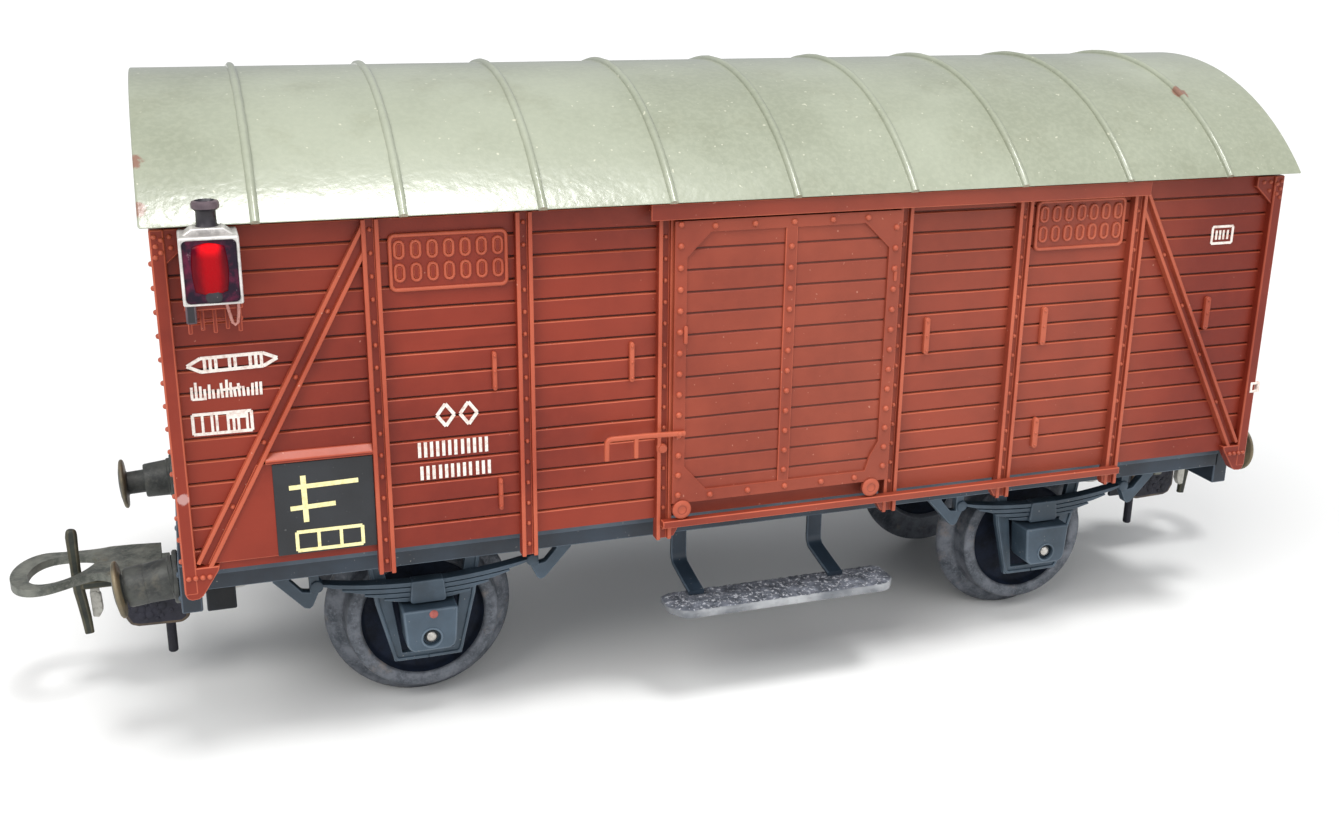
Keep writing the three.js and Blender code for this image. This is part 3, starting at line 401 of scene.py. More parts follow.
# ---------------------------------------- mesh building
class Shells:
    """Closed shells in millimetres above the rail top, gathered into one mesh."""

    def __init__(self):
        self.verts, self.faces, self.marks = [], [], []

    def add(self, verts, faces, bevel=0.0, marks=None, move=None, segments=2):
        """One more shell, whose sharp edges are rounded by the bevel. marks give the faces' finishes."""
        bm = bmesh.new()
        made = [bm.verts.new(v) for v in verts]
        for i, face in enumerate(faces):
            bm.faces.new([made[k] for k in face]).material_index = marks[i] if marks else BASE
        bmesh.ops.recalc_face_normals(bm, faces=bm.faces)
        if bevel:
            sharp = [e for e in bm.edges if e.calc_face_angle(0) > BEVEL_ANGLE]
            bmesh.ops.bevel(bm, geom=sharp, offset=bevel, offset_type="OFFSET", segments=segments,
                            profile=0.5, affect="EDGES", clamp_overlap=True, material=EDGE)
        if move:
            bm.transform(move)
        base = len(self.verts)
        bm.verts.index_update()
        self.verts += [v.co[:] for v in bm.verts]
        self.faces += [[base + v.index for v in f.verts] for f in bm.faces]
        self.marks += [f.material_index for f in bm.faces]
        bm.free()
        return self

    def box(self, x0, x1, y0, y1, z0, z1, bevel=0.06, mark=BASE, segments=2):
        return self.prism(rectangle(x0, x1, y0, y1), "z", z0, z1, bevel, mark, segments)

    def prism(self, outline, axis, a0, a1, bevel=0.06, mark=BASE, segments=2, sides=None):
        """An outline in the two other axes, in their order, extruded along one. sides marks each edge."""
        n = len(outline)
        verts = [placed(axis, u, v, a) for a in (a0, a1) for u, v in outline]
        faces = [list(range(n)), list(range(n, 2 * n))]
        faces += [[i, (i + 1) % n, n + (i + 1) % n, n + i] for i in range(n)]
        return self.add(verts, faces, bevel, [mark, mark] + (sides or [mark] * n), segments=segments)

    def ring(self, outer, inner, axis, a0, a1, bevel=0.06):
        """An extruded outline with a hole; both outlines have the same number of points."""
        n = len(outer)
        verts = [placed(axis, u, v, a) for line in (outer, inner) for a in (a0, a1) for u, v in line]
        faces = []
        for i in range(n):
            j = (i + 1) % n
            faces += [[i, j, n + j, n + i], [2 * n + i, 2 * n + j, 3 * n + j, 3 * n + i],
                      [i, j, 2 * n + j, 2 * n + i], [n + i, n + j, 3 * n + j, 3 * n + i]]
        return self.add(verts, faces, bevel)

    def lathe(self, profile, axis, centre, sides=48, marks=None, move=None):
        """A profile of (radius, distance along the axis) turned about an axis through centre."""
        verts, rings = [], []
        for radius, along in profile:
            count = sides if radius > 1e-6 else 1
            rings.append(range(len(verts), len(verts) + count))
            for k in range(count):
                angle = 2 * math.pi * (k + 0.5) / sides
                point = placed(axis, radius * math.cos(angle), radius * math.sin(angle), along)
                verts.append([c + p for c, p in zip(centre, point)])
        pairs = list(zip(rings, rings[1:]))
        if len(rings[0]) > 1:
            pairs.append((rings[-1], rings[0]))
        faces, face_marks = [], []
        for index, (a, b) in enumerate(pairs):
            for k in range(sides):
                corners = [a[k % len(a)], a[(k + 1) % len(a)], b[(k + 1) % len(b)], b[k % len(b)]]
                faces.append(list(dict.fromkeys(corners)))
                face_marks.append(marks[index] if marks else BASE)
        return self.add(verts, faces, marks=face_marks, move=move)

    def sweep(self, path, section, up=(0, 1, 0), closed=False, scales=None, marks=None):
        """A closed section of (sideways, upwards) points carried along a path."""
        points = [Vector(p) for p in path]
        count, n = len(points), len(section)
        verts = []
        for i, point in enumerate(points):
            before = points[i - 1] if closed or i else point
            after = points[(i + 1) % count] if closed or i < count - 1 else point
            along = (after - before).normalized()
            side = along.cross(Vector(up)).normalized()
            rise = side.cross(along)
            scale = scales[i] if scales else 1
            verts += [point + side * s * scale + rise * u * scale for s, u in section]
        faces = tube_faces(count, n, closed)
        face_marks = (marks or [BASE] * n) * (len(faces) // n)
        if not closed:
            faces += [list(range(n)), list(range((count - 1) * n, count * n))]
            face_marks += [BASE, BASE]
        return self.add(verts, faces, marks=face_marks)

    def rivets(self, points, radius=0.17, height=0.15, normal=(0, -1, 0), mark=EDGE, sides=10):
        """Domed rivet heads that stand on these points. By default they take the lighter edge finish, a
        painted highlight on the heads.
        """
        turn = Vector((0, 0, 1)).rotation_difference(Vector(normal)).to_matrix()
        profile = ((1.0, -0.4), (1.0, 0.15), (0.8, 0.68), (0.42, 0.94))
        for point in points:
            base = len(self.verts)
            for ratio, rise in profile:
                for k in range(sides):
                    angle = 2 * math.pi * k / sides
                    local = Vector((ratio * radius * math.cos(angle), ratio * radius * math.sin(angle),
                                    rise * height))
                    self.verts.append(tuple(turn @ local + Vector(point)))
            self.verts.append(tuple(turn @ Vector((0, 0, height)) + Vector(point)))
            top = len(self.verts) - 1
            for ring in range(len(profile) - 1):
                for k in range(sides):
                    a, b = base + ring * sides + k, base + ring * sides + (k + 1) % sides
                    self.faces.append([a, b, b + sides, a + sides])
            last = top - sides
            self.faces += [[last + k, last + (k + 1) % sides, top] for k in range(sides)]
            self.faces.append([base + k for k in reversed(range(sides))])
            self.marks += [mark] * (sides * len(profile) + 1)

    def mesh(self, name):
        made = bpy.data.meshes.new(name)
        made.from_pydata(self.verts, [], self.faces)
        made.polygons.foreach_set("material_index", self.marks)
        return made

    def carved(self, tool, operation="DIFFERENCE"):
        """What is left after a boolean with another set of shells."""
        pair = [bpy.data.objects.new("carve", s.mesh("carve")) for s in (self, tool)]
        for obj in pair:
            bpy.context.scene.collection.objects.link(obj)
        step = pair[0].modifiers.new("carve", "BOOLEAN")
        step.operation, step.object, step.solver = operation, pair[1], "EXACT"
        bpy.context.view_layer.update()
        result = pair[0].evaluated_get(bpy.context.evaluated_depsgraph_get()).to_mesh()
        self.verts = [v.co[:] for v in result.vertices]
        self.faces = [list(p.vertices) for p in result.polygons]
        self.marks = [p.material_index for p in result.polygons]
        for obj in pair:
            bpy.data.objects.remove(obj)
        return self


def placed(axis, u, v, a):
    return {"x": (a, u, v), "y": (u, a, v), "z": (u, v, a)}[axis]


def rectangle(u0, u1, v0, v1):
    return [(u0, v0), (u1, v0), (u1, v1), (u0, v1)]


def tube_faces(rings, n, closed=False):
    """The faces between rings of n points each."""
    pairs = [(i, (i + 1) % rings) for i in range(rings if closed else rings - 1)]
    return [[i * n + k, i * n + (k + 1) % n, j * n + (k + 1) % n, j * n + k]
            for i, j in pairs for k in range(n)]


def piece(name, shells, materials, body, stands_for=(), x=0.0, turned=False, mirrored=False):
    """Makes the shells one object that rides on a body and takes the given finishes."""
    mesh = shells.mesh(name)
    place = Matrix.Translation((x * MM, 0, RAIL_TOP * MM)) @ Matrix.Scale(MM, 4)
    if turned:
        place = place @ Matrix.Rotation(math.pi, 4, "Z")
    if mirrored:
        place = place @ Matrix.Scale(-1, 4, Vector((0, 1, 0)))
    mesh.transform(place)
    if mirrored:
        mesh.flip_normals()
    for material in materials:
        mesh.materials.append(material)
    mesh.shade_smooth()
    mesh.set_sharp_from_angle(angle=SHARP_ANGLE)
    obj = bpy.data.objects.new(name, mesh)
    bpy.context.scene.collection.objects.link(obj)
    obj.modifiers.new("normals", "WEIGHTED_NORMAL").keep_sharp = True
    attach(obj, body)
    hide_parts(*stands_for)


def both(places, name, shells, materials, node=None, body="wagon"):
    """The piece in its own place, and its copy turned to the other. {} stands for the place's name."""
    for place, turned in places:
        nodes = [node.format(place)] if node else []
        piece(f"{name}_{place}", shells, materials, body.format(place), nodes, turned=turned)


def four_places(name, shells, materials, x, node):
    """Copies at -x and +x of a front piece that is modelled at x = 0, on both sides."""
    for side, turned in SIDES:
        for end, sign in END_SIGNS:
            piece(f"{name}_{side}_{end}", shells, materials, "wagon", [f"{node}_{side}_{end}"],
                  x=sign * x, turned=turned)


def steps(start, end, count):
    return [start + (end - start) * i / (count - 1) for i in range(count)]


def arc(cu, cv, radius, start, sweep_degrees, count):
    """Points on a circle about (cu, cv), from a start angle in degrees."""
    angles = [math.radians(start + sweep_degrees * i / count) for i in range(count + 1)]
    return [(cu + radius * math.cos(t), cv + radius * math.sin(t)) for t in angles]


def round_section(width, height, radius, corner_steps=3):
    """A rounded rectangle of (sideways, upwards) points about the middle."""
    across, up = width / 2 - radius, height / 2 - radius
    corners = ((1, 1, 0), (-1, 1, 90), (-1, -1, 180), (1, -1, 270))
    return [p for cx, cy, start in corners
            for p in arc(cx * across, cy * up, radius, start, 90, corner_steps)]


SECTION_MARKS = ([EDGE] * 3 + [BASE]) * 4


def capsule(u, v, width, height, turn_steps=6):
    """An upright slot outline: straight sides with half-round ends."""
    radius = width / 2
    reach = height / 2 - radius
    return [p for centre, start in ((reach, 0), (-reach, 180))
            for p in arc(u, v + centre, radius, start, 180, turn_steps)]


# ---------------------------------------- planked walls
def joint_wander(along, index):
    """How far a plank joint strays from its line there: hand-cut moulds are never quite straight."""
    return 0.035 * noise.noise(Vector((along * 0.16, index * 7.3, 0.5)))


def planked_outline(z0, z1, face, back, lit, depth):
    """(out, height, joint) points of a planked face with a groove at each joint, and its marks. The groove's
    upward-facing lower flank takes the lit mark, a painted highlight.
    """
    points, marks = [(back, z0, None), (face, z0, None)], [BASE]
    index, height = 0, FIRST_JOINT
    while height < z1 - JOINT_MARGIN:
        if height > z0 + JOINT_MARGIN:
            sinks = (0, GROOVE_LIP, depth, depth, GROOVE_LIP, 0)
            points += [(face - sink, height + rise, index) for sink, rise in zip(sinks, GROOVE_HEIGHTS)]
            # lit paints a highlight on the groove's upward-facing lower flank; the bottom and upper flank
            # take the dark joint finish.
            marks += [BASE, lit, lit, GROOVE, GROOVE, BASE]
        index += 1
        height += PLANK
    points += [(face, z1, None), (back, z1, None)]
    return points, marks + [BASE, BASE, BASE]


def planked(shells, a0, a1, z0, z1, face, back, place, wander=True, lit=EDGE, depth=GROOVE_DEPTH):
    """A planked slab from a0 to a1. place turns (along, out, height) into a point."""
    outline, outline_marks = planked_outline(z0, z1, face, back, lit, depth)
    count, n = max(2, int((a1 - a0) / WANDER_STEP) + 1) if wander else 2, len(outline)
    verts = []
    for a in steps(a0, a1, count):
        for out, height, joint in outline:
            stray = joint_wander(a, joint) if wander and joint is not None else 0
            verts.append(place(a, out, height + stray))
    caps = [list(range(n)), list(range((count - 1) * n, count * n))]
    shells.add(verts, caps + tube_faces(count, n), marks=[BASE, BASE] + outline_marks * (count - 1))


def on_front(a, out, height):
    return (a, -out, height)


def arch_points(radius, foot, count):
    """(across, height) points of the roof's arch at a radius, from one side's foot to the other's."""
    half = math.acos((foot - ARCH_CENTRE) / radius)
    return [(radius * math.sin(t), ARCH_CENTRE + radius * math.cos(t)) for t in steps(-half, half, count)]


side_wall = Shells()
for x0, x1, z0, z1 in ((-BODY_END, -DOORWAY_HALF, BODY_BOTTOM, WALL_TOP),
                       (DOORWAY_HALF, BODY_END, BODY_BOTTOM, WALL_TOP),
                       (-DOORWAY_HALF, DOORWAY_HALF, BODY_BOTTOM, DOORWAY_BOTTOM),
                       (-DOORWAY_HALF, DOORWAY_HALF, DOORWAY_TOP, WALL_TOP)):
    planked(side_wall, x0, x1, z0, z1, WALL_OUT, WALL_BACK, on_front)
both(SIDES, "side_wall", side_wall, RED, "body_shell")

end_wall = Shells()
planked(end_wall, -WALL_OUT + 0.4, WALL_OUT - 0.4, BODY_BOTTOM, CROWN, BODY_END, BODY_END - 1.0,
        lambda a, out, height: (-out, a, height), wander=False)
gable = Shells()
gable_foot = BODY_BOTTOM - 1
gable_line = arch_points(ARCH_RADIUS - ROOF_THICKNESS - 0.02, WALL_TOP - 0.6, 49)
gable_outline = [(-WALL_OUT, gable_foot), *gable_line, (WALL_OUT, gable_foot)]
gable.prism(gable_outline, "x", -BODY_END - 2, -BODY_END + 3, 0)
end_wall.carved(gable, "INTERSECT")
both(ENDS, "end_wall", end_wall, RED, "body_shell")


# ---------------------------------------- posts, braces and corner irons
# The two front flange faces of each post channel take the EDGE finish: a painted highlight on the faces that
# catch the light.
CHANNEL_LIT_FLANGES = [BASE, EDGE, BASE, BASE, BASE, EDGE, BASE, BASE]


def channel_outline(half, back, front, floor):
    """A channel open outwards, as (across, out) points."""
    return [(-half, back), (-half, front), (-CHANNEL_HALF, front), (-CHANNEL_HALF, floor),
            (CHANNEL_HALF, floor), (CHANNEL_HALF, front), (half, front), (half, back)]


posts = Shells()
for x in POSTS:
    outline = channel_outline(POST_HALF, WALL_OUT - 0.3, POST_OUT, POST_OUT - CHANNEL_DEPTH)
    footprint = [(x + u, -out) for u, out in outline]
    posts.prism(footprint, "z", POST_BOTTOM, POST_TOP, 0.05, sides=CHANNEL_LIT_FLANGES)

BRACE_FOOT = Vector((-41.75, 14.95))
BRACE_HEAD = Vector((-30.5, 35.75))
BRACE_END_X = -30.2
BRACE_HALF = 0.55
BRACE_SET_BACK = 0.07
BRACE_FRONT = POST_OUT - BRACE_SET_BACK
brace_way = (BRACE_HEAD - BRACE_FOOT).normalized()
brace_side = Vector((brace_way.y, -brace_way.x))


def brace_strip(low, high):
    """A strip of the brace between two distances beside its middle line, cut off at the post."""
    feet = [BRACE_FOOT + brace_side * reach for reach in (low, high)]
    heads = [foot + brace_way * ((BRACE_END_X - foot.x) / brace_way.x) for foot in feet]
    return [feet[0], feet[1], heads[1], heads[0]]


# The brace's two flanges take the EDGE finish, a painted highlight like the posts' flanges; its channel
# floor stays plain.
for sign in (1, -1):
    for low, high, front, mark in ((-BRACE_HALF, -CHANNEL_HALF, BRACE_FRONT, EDGE),
                                   (CHANNEL_HALF, BRACE_HALF, BRACE_FRONT, EDGE),
                                   (-CHANNEL_HALF, CHANNEL_HALF, BRACE_FRONT - CHANNEL_DEPTH, BASE)):
        strip = [(sign * p.x, p.y) for p in brace_strip(low, high)]
        posts.prism(strip, "y", -front, -WALL_OUT + 0.3, 0.04, mark)
both(SIDES, "side_posts", posts, RED)

CORNER_INSET, CAP_SUNK = 0.04, 0.2
cap_side, cap_top = -CORNER_X + CORNER_INSET, POST_TOP - CORNER_INSET
cap = [(cap_side, 35.5), (-42.3, 35.5), (-40.7, 36.9), (-40.7, cap_top), (cap_side, cap_top)]
gusset = [(-CORNER_X + inset, v) for inset, v in
          ((CORNER_INSET, 14.9), (0.06, 12.95), (0.2, 12.7), (0.45, 12.6), (0.9, 12.64), (1.2, 12.85),
           (2.3, 14.55), (2.4, 14.9))]
corners = Shells()
for sign in (-1, 1):
    x0, x1 = sorted((sign * CORNER_X, sign * (CORNER_X - 0.9)))
    corners.box(x0, x1, -POST_OUT, -WALL_OUT + 0.9, POST_BOTTOM + 0.2, POST_TOP, 0.12)
    for line, sunk in ((gusset, 0.03), (cap, CAP_SUNK)):
        corners.prism([(u * -sign, v) for u, v in line], "y", -POST_OUT + sunk, -WALL_OUT + 0.3, 0.08)
both(SIDES, "corner_irons", corners, RED)

end_posts = Shells()
for y in (-END_POST_Y, END_POST_Y):
    outline = channel_outline(POST_HALF, POST_OUT - 0.85, POST_OUT, POST_OUT - CHANNEL_DEPTH)
    footprint = [(-CORNER_X + POST_OUT - out, y + u) for u, out in outline]
    end_posts.prism(footprint, "z", POST_BOTTOM + 1.7, 42.5, 0.07)
for z in END_STRAP_HEIGHTS:
    end_posts.box(-END_STRAP_FACE, -BODY_END + 0.2, -WALL_OUT + 0.9, WALL_OUT - 0.9, z - 0.45, z + 0.45,
                  0.08)
both(ENDS, "end_posts", end_posts, RED)

# ---------------------------------------- rivets
rivets = Shells()
rivet_heights = [15.25 + PLANK * i for i in range(15)]
recess = -(POST_OUT - CHANNEL_DEPTH)
for x in POSTS:
    rivets.rivets([(x, recess, z) for z in [13.65] + rivet_heights], 0.17, 0.17)
for sign in (1, -1):
    spots = [BRACE_FOOT + brace_way * along for along in (4.5, 9.4, 14.3, 19.2)]
    rivets.rivets([(sign * p.x, recess + BRACE_SET_BACK, p.y) for p in spots], 0.18, 0.2)
    rivets.rivets([(sign * x, -POST_OUT, 14.2) for x in (-42.8, -42.36, -41.9, -41.45)], 0.18, 0.16)
    bumps = ((-42.85, 37.35), (-42.45, 37.15), (-42.8, 36.75), (-42.5, 36.35), (-42.85, 36.05))
    rivets.rivets([(sign * x, -POST_OUT, z) for x, z in bumps], 0.17, 0.14)
    cap_row = ((-41.95, 37.3), (-41.9, 36.6), (-41.3, 37.3))
    rivets.rivets([(sign * x, -POST_OUT + CAP_SUNK, z) for x, z in cap_row], 0.17, 0.14)
both(SIDES, "side_rivets", rivets, RED)

end_rivets = Shells()
for z in rivet_heights[:-1]:
    points = [(-CORNER_X, y, z) for y in (-15.9, 15.9)]
    points += [(-CORNER_X + CHANNEL_DEPTH, y, z) for y in (-END_POST_Y, END_POST_Y)]
    end_rivets.rivets(points, 0.19, 0.2, (-1, 0, 0))
for z in END_STRAP_HEIGHTS:
    points = [(-END_STRAP_FACE, y, z) for y in (-13, -10.5, -8, -3, 0, 3, 8, 10.5, 13)]
    end_rivets.rivets(points, normal=(-1, 0, 0))
both(ENDS, "end_rivets", end_rivets, RED)

# ---------------------------------------- ventilators and handles
def rounded(x0, x1, z0, z1, radius):
    """A rounded rectangle outline."""
    return [((x0 + x1) / 2 + u, (z0 + z1) / 2 + v) for u, v in round_section(x1 - x0, z1 - z0, radius, 5)]


vents = Shells()
for x in (-24.5, 24.55):
    vents.prism(rounded(x - 4.0, x + 4.0, 32.8, 36.7, 0.4), "y", -WALL_OUT - 0.16, -WALL_OUT + 0.3, 0.05)
    rim = [(u, -WALL_OUT - 0.16, v) for u, v in rounded(x - 3.88, x + 3.88, 32.92, 36.58, 0.36)]
    vents.sweep(rim, round_section(0.26, 0.26, 0.1, 2), closed=True, marks=[EDGE] * 12)
    for i in range(7):
        for z in (35.62, 34.08):
            line = capsule(x - 3.3 + 1.1 * i, z, 0.58, 1.12)
            vents.sweep([(u, -WALL_OUT - 0.18, v) for u, v in line], round_section(0.2, 0.26, 0.08, 2),
                        closed=True, marks=[EDGE] * 12)
            middle = capsule(x - 3.3 + 1.1 * i, z, 0.36, 0.88)
            vents.prism(middle, "y", -WALL_OUT - 0.24, -WALL_OUT, 0.05)
both(SIDES, "ventilators", vents, RED)

handles = Shells()
HANDLES = ((-21.62, 25.4, 28.2, 0.3), (-21.4, 16.5, 18.9, 0.3), (-11.71, 25.15, 28.1, 0.34),
           (11.8, 25.3, 28.2, 0.45), (22.1, 25.2, 28.3, 0.5), (22.25, 16.6, 19.2, 0.5),
           (37.5, 25.3, 28.1, 0.5))
for x, z0, z1, width in HANDLES:
    line = capsule(x, (z0 + z1) / 2, width, z1 - z0, 5)
    handles.prism(line, "y", -WALL_OUT - 0.3, -WALL_OUT + 0.1, 0.06, EDGE)
    handles.rivets([(x, -WALL_OUT - 0.3, z) for z in (z0 + 0.3, (z0 + z1) / 2, z1 - 0.3)], 0.11, 0.08)
both(SIDES, "side_handles", handles, RED)

# ---------------------------------------- roof
ARCH_STEPS = 97
roof = Shells()
outer_line = arch_points(ARCH_RADIUS, EAVE, ARCH_STEPS)
inner_line = arch_points(ARCH_RADIUS - ROOF_THICKNESS, EAVE, ARCH_STEPS)
roof.prism(outer_line + inner_line[::-1], "x", -ROOF_END, ROOF_END, 0.14, segments=3)
rib_section = [(0.3 * math.cos(t), 0.3 * math.sin(t)) for t in steps(-0.35, math.pi + 0.35, 9)]
for i in range(9):
    x = (i - 4) * RIB_SPACING
    line = arch_points(ARCH_RADIUS - 0.02, EAVE + 0.02, ARCH_STEPS)
    uneven = [1 + 0.1 * noise.noise(Vector((x, k * 0.35, 0))) for k in range(len(line))]
    verts, n = [], len(rib_section)
    for k, (across, height) in enumerate(line):
        t = math.atan2(across, height - ARCH_CENTRE)
        verts += [(x + s * uneven[k], across + math.sin(t) * u * uneven[k],
                   height + math.cos(t) * u * uneven[k]) for s, u in rib_section]
    roof.add(verts, [list(range(n)), list(range(len(verts) - n, len(verts)))] + tube_faces(len(line), n))
piece("roof_sheet", roof, ROOF * 2, "wagon", ["roof"])


# ---------------------------------------- sliding doors
def chamfered(x0, x1, z0, z1, corners):
    """A rectangle with cut corners, as 12 points. corners are (across, up, bulge) from the bottom left."""
    points = []
    for (x, z, sx, sz), (across, up, bulge) in zip(
            ((x0, z0, 1, 1), (x1, z0, -1, 1), (x1, z1, -1, -1), (x0, z1, 1, -1)), corners):
        ends = [(x, z + sz * up), (x + sx * across, z)]
        middle = (x + sx * (across / 2 - bulge), z + sz * (up / 2 - bulge))
        three = [ends[0], middle, ends[1]]
        points += three if sx * sz > 0 else three[::-1]
    return points


def spread(x0, x1, z0, z1):
    """The same rectangle as 12 points, three to a corner, for the outside of a chamfered frame."""
    return chamfered(x0, x1, z0, z1, [(0.02, 0.02, 0.0)] * 4)


door = Shells()
planked(door, -DOOR_HALF + 0.1, DOOR_RIGHT - 0.1, DOOR_BOTTOM + 0.1, DOOR_TOP - 0.1, DOOR_PANEL, DOOR_BACK,
        on_front, lit=BASE, depth=DOOR_GROOVE_DEPTH)
frame_cuts = ((1.7, 1.95, 0.0), (1.0, 2.3, -0.1), (2.0, 1.9, 0.0), (1.75, 1.75, 0.0))
frame_inner = chamfered(-7.95, 7.75, 16.65, 35.88, frame_cuts)
frame_outer = spread(-DOOR_HALF, DOOR_RIGHT, DOOR_BOTTOM, DOOR_TOP)
door.ring(frame_outer, frame_inner, "y", -DOOR_FRAME, -DOOR_BACK - 0.02, 0.08)
door.box(-0.5, 0.42, -DOOR_FRAME + 0.02, -DOOR_PANEL + 0.1, 16.3, 36.2, 0.07)
roller_rim = [(0, 0.05), (0.3, 0.05), (0.36, 0.0), (0.6, 0.0), (ROLLER_RADIUS, 0.1), (ROLLER_RADIUS, 0.4),
              (0, 0.4)]
roller_z = TRACK_TOP + 0.05 + ROLLER_RADIUS
for x in (-8.12, 7.3):
    door.lathe(roller_rim, "y", (x, -DOOR_FRAME - 0.22, roller_z), 28, [EDGE, BASE, EDGE, EDGE, BASE, BASE])
door_rivets = [(x, low + DOOR_RIVET_PITCH * i) for x, low, count in ((-8.42, 16.4, 14), (8.25, 16.9, 13))
               for i in range(count)]
door_rivets += [(x, z) for z in (36.28, 16.18) for x in (-5.9, -2.9, 0.1, 3.1, 5.9)]
door.rivets([(x, -DOOR_FRAME, z) for x, z in door_rivets], 0.23, 0.2)
door.rivets([(-0.04, -DOOR_FRAME + 0.02, 17.5 + DOOR_RIVET_PITCH * i) for i in range(12)], 0.22, 0.2)
door.prism(capsule(-8.0, 28.55, 0.28, 1.35, 5), "y", -DOOR_FRAME - 0.12, -DOOR_FRAME + 0.1, 0.04, EDGE)
door.prism(capsule(8.35, 32.0, 0.24, 1.2, 5), "y", -DOOR_FRAME - 0.1, -DOOR_FRAME + 0.1, 0.04, EDGE)
both(SIDES, "door_leaf", door, RED_DOOR, "door_{}", "door_{}")

latch = Shells()
latch_y = -DOOR_FRAME - 0.18
latch_line = ((-13.9, 19.75), (-13.88, 21.1), (-13.75, 21.28), (-13.5, 21.34), (-11.0, 21.34),
              (-8.0, 21.24))
latch.sweep([(x, latch_y, z) for x, z in latch_line],
            round_section(0.36, 0.32, 0.1), marks=SECTION_MARKS)
latch.sweep([(-11.7, latch_y, 19.75), (-11.7, latch_y, 21.3)], round_section(0.34, 0.3, 0.1),
            marks=SECTION_MARKS)
latch.rivets([(-8.4, latch_y - 0.14, 21.25)], 0.2, 0.12)
both(SIDES, "latch_bar", latch, RED[1:2] * 2, "door_latch_{}", "door_{}")

stud = Shells()
stud.lathe([(0, 0), (0.3, 0), (0.34, 0.08), (0.34, 0.4), (0, 0.4)], "y", (-9.46, -POST_OUT - 0.1, 20.0), 16)
stud.box(-9.9, -9.2, -POST_OUT - 0.02, -POST_OUT + 0.3, 19.75, 20.25, 0.05)
both(SIDES, "latch_stud", stud, RED[1:2] * 2)

rail = Shells()
rail_out, rail_back = DOOR_FRAME + 0.3, POST_OUT + 0.12
rail.prism([(-rail_out, 36.86), (-rail_out + 0.2, 36.86), (-rail_out + 0.2, 37.5), (-rail_back, 37.5),
            (-rail_back, 38.0), (-rail_out, 38.0)], "x", -10.7, 29.9, 0.06)
both(SIDES, "upper_rail", rail, RED, "door_rail_upper_{}")

track = Shells()
track.box(TRACK_LOW[0], TRACK_HIGH[0], -DOOR_FRAME - 0.28, -POST_OUT - 0.06, TRACK_TOP - 0.55, TRACK_TOP,
          0.07)
for x, sign in ((-9.3, 1), (9.3, -1), (19.45, -1), (29.65, -1)):
    near, far = x + sign * 0.45, x + sign * (1.3 if x < 25 else 0.9)
    track.prism([(near, 13.0), (near, TRACK_TOP - 0.5), (far, TRACK_TOP - 0.5), (near + sign * 0.3, 13.0)],
                "y", -POST_OUT + 0.05, -WALL_OUT + 0.2, 0.06)
both(SIDES, "lower_track", track, RED, "door_track_lower_{}")

# ---------------------------------------- underframe and floor
underframe = Shells()
underframe.box(-BODY_END, BODY_END, -SOLEBAR_OUT + 1.3, SOLEBAR_OUT - 1.3, 13.4, 14.33, 0.08)
for sign in (-1, 1):
    y0, y1 = sorted((sign * SOLEBAR_OUT, sign * (SOLEBAR_OUT - 1.0)))
    underframe.box(-BODY_END + 0.2, BODY_END - 0.2, y0, y1, 12.2, 13.6, 0.08)
    y0, y1 = sorted((sign * (SOLEBAR_OUT + 0.02), sign * (SOLEBAR_OUT - 0.5)))
    underframe.box(-BODY_END + 0.25, BODY_END - 0.25, y0, y1, 13.3, 13.85, 0.05, EDGE)
    x0, x1 = sorted((sign * HEADSTOCK_X, sign * (HEADSTOCK_X - 1.4)))
    underframe.box(x0, x1, -SOLEBAR_OUT, SOLEBAR_OUT, 10.6, 14.23, 0.12)
    points = [(sign * HEADSTOCK_X, y, z) for y in (-4.6, 4.6, -13.3, 13.3) for z in (11.4, 13.2)]
    underframe.rivets(points, 0.22, 0.16, (sign, 0, 0))
for x in (-31.5, -21.0, -12.5, 12.5, 21.0, 31.5):
    underframe.box(x - 0.6, x + 0.6, -13.4, 13.4, 12.7, 13.5, 0.1)
for y in (-4.4, 4.4):
    underframe.box(-20.5, 20.5, y - 0.4, y + 0.4, 12.5, 13.5, 0.1)
piece("underframe_moulding", underframe, SLATE, "wagon", ["underframe"])

inner_floor = Shells()
grooved = [(-14.7, 15.15), (-14.7, 15.62)]
for i in range(-5, 6):
    y = i * 2.45
    grooved += [(y - 0.1, 15.65), (y - 0.04, 15.5), (y + 0.04, 15.5), (y + 0.1, 15.65)]
grooved += [(14.7, 15.62), (14.7, 15.15)]
inner_floor.prism(grooved, "x", -41.3, 41.3, 0)
piece("floor_boards", inner_floor, FLOOR_DARK, "wagon", ["floor_insert"])

# ---------------------------------------- axle guards and springs
def both_halves(left):
    """The points of the left half, and their mirror images in the opposite order."""
    return left + [(-u, v) for u, v in left[::-1]]


guard = Shells()
GUARD_FACE, GUARD_BACK, AXLE_BOX_FACE = 11.35, 10.8, 13.45
guard_outer = both_halves([(-4.3, 13.3), (-4.25, 11.5), (-3.75, 8.0), (-2.55, 3.15)])
guard_inner = both_halves([(-3.3, 12.6), (-3.15, 11.5), (-2.5, 8.0), (-1.95, 3.8)])
guard.ring(guard_outer, guard_inner, "y", -GUARD_FACE, -GUARD_BACK, 0.08)
for sign in (-1, 1):
    rib = [(sign * x, -GUARD_FACE, z) for x, z in
           ((4.08, 12.4), (4.03, 11.5), (3.54, 8.0), (2.5, 3.6), (2.25, 3.34), (0.05, 3.32))]
    guard.sweep(rib, round_section(0.26, 0.3, 0.1), marks=SECTION_MARKS)
box_block = Shells()
box_line = [(-1.3, 4.75), (1.3, 4.75), (1.65, 4.95), (1.85, 5.35), (2.05, 8.1), (-2.05, 8.1), (-1.85, 5.35),
            (-1.65, 4.95)]
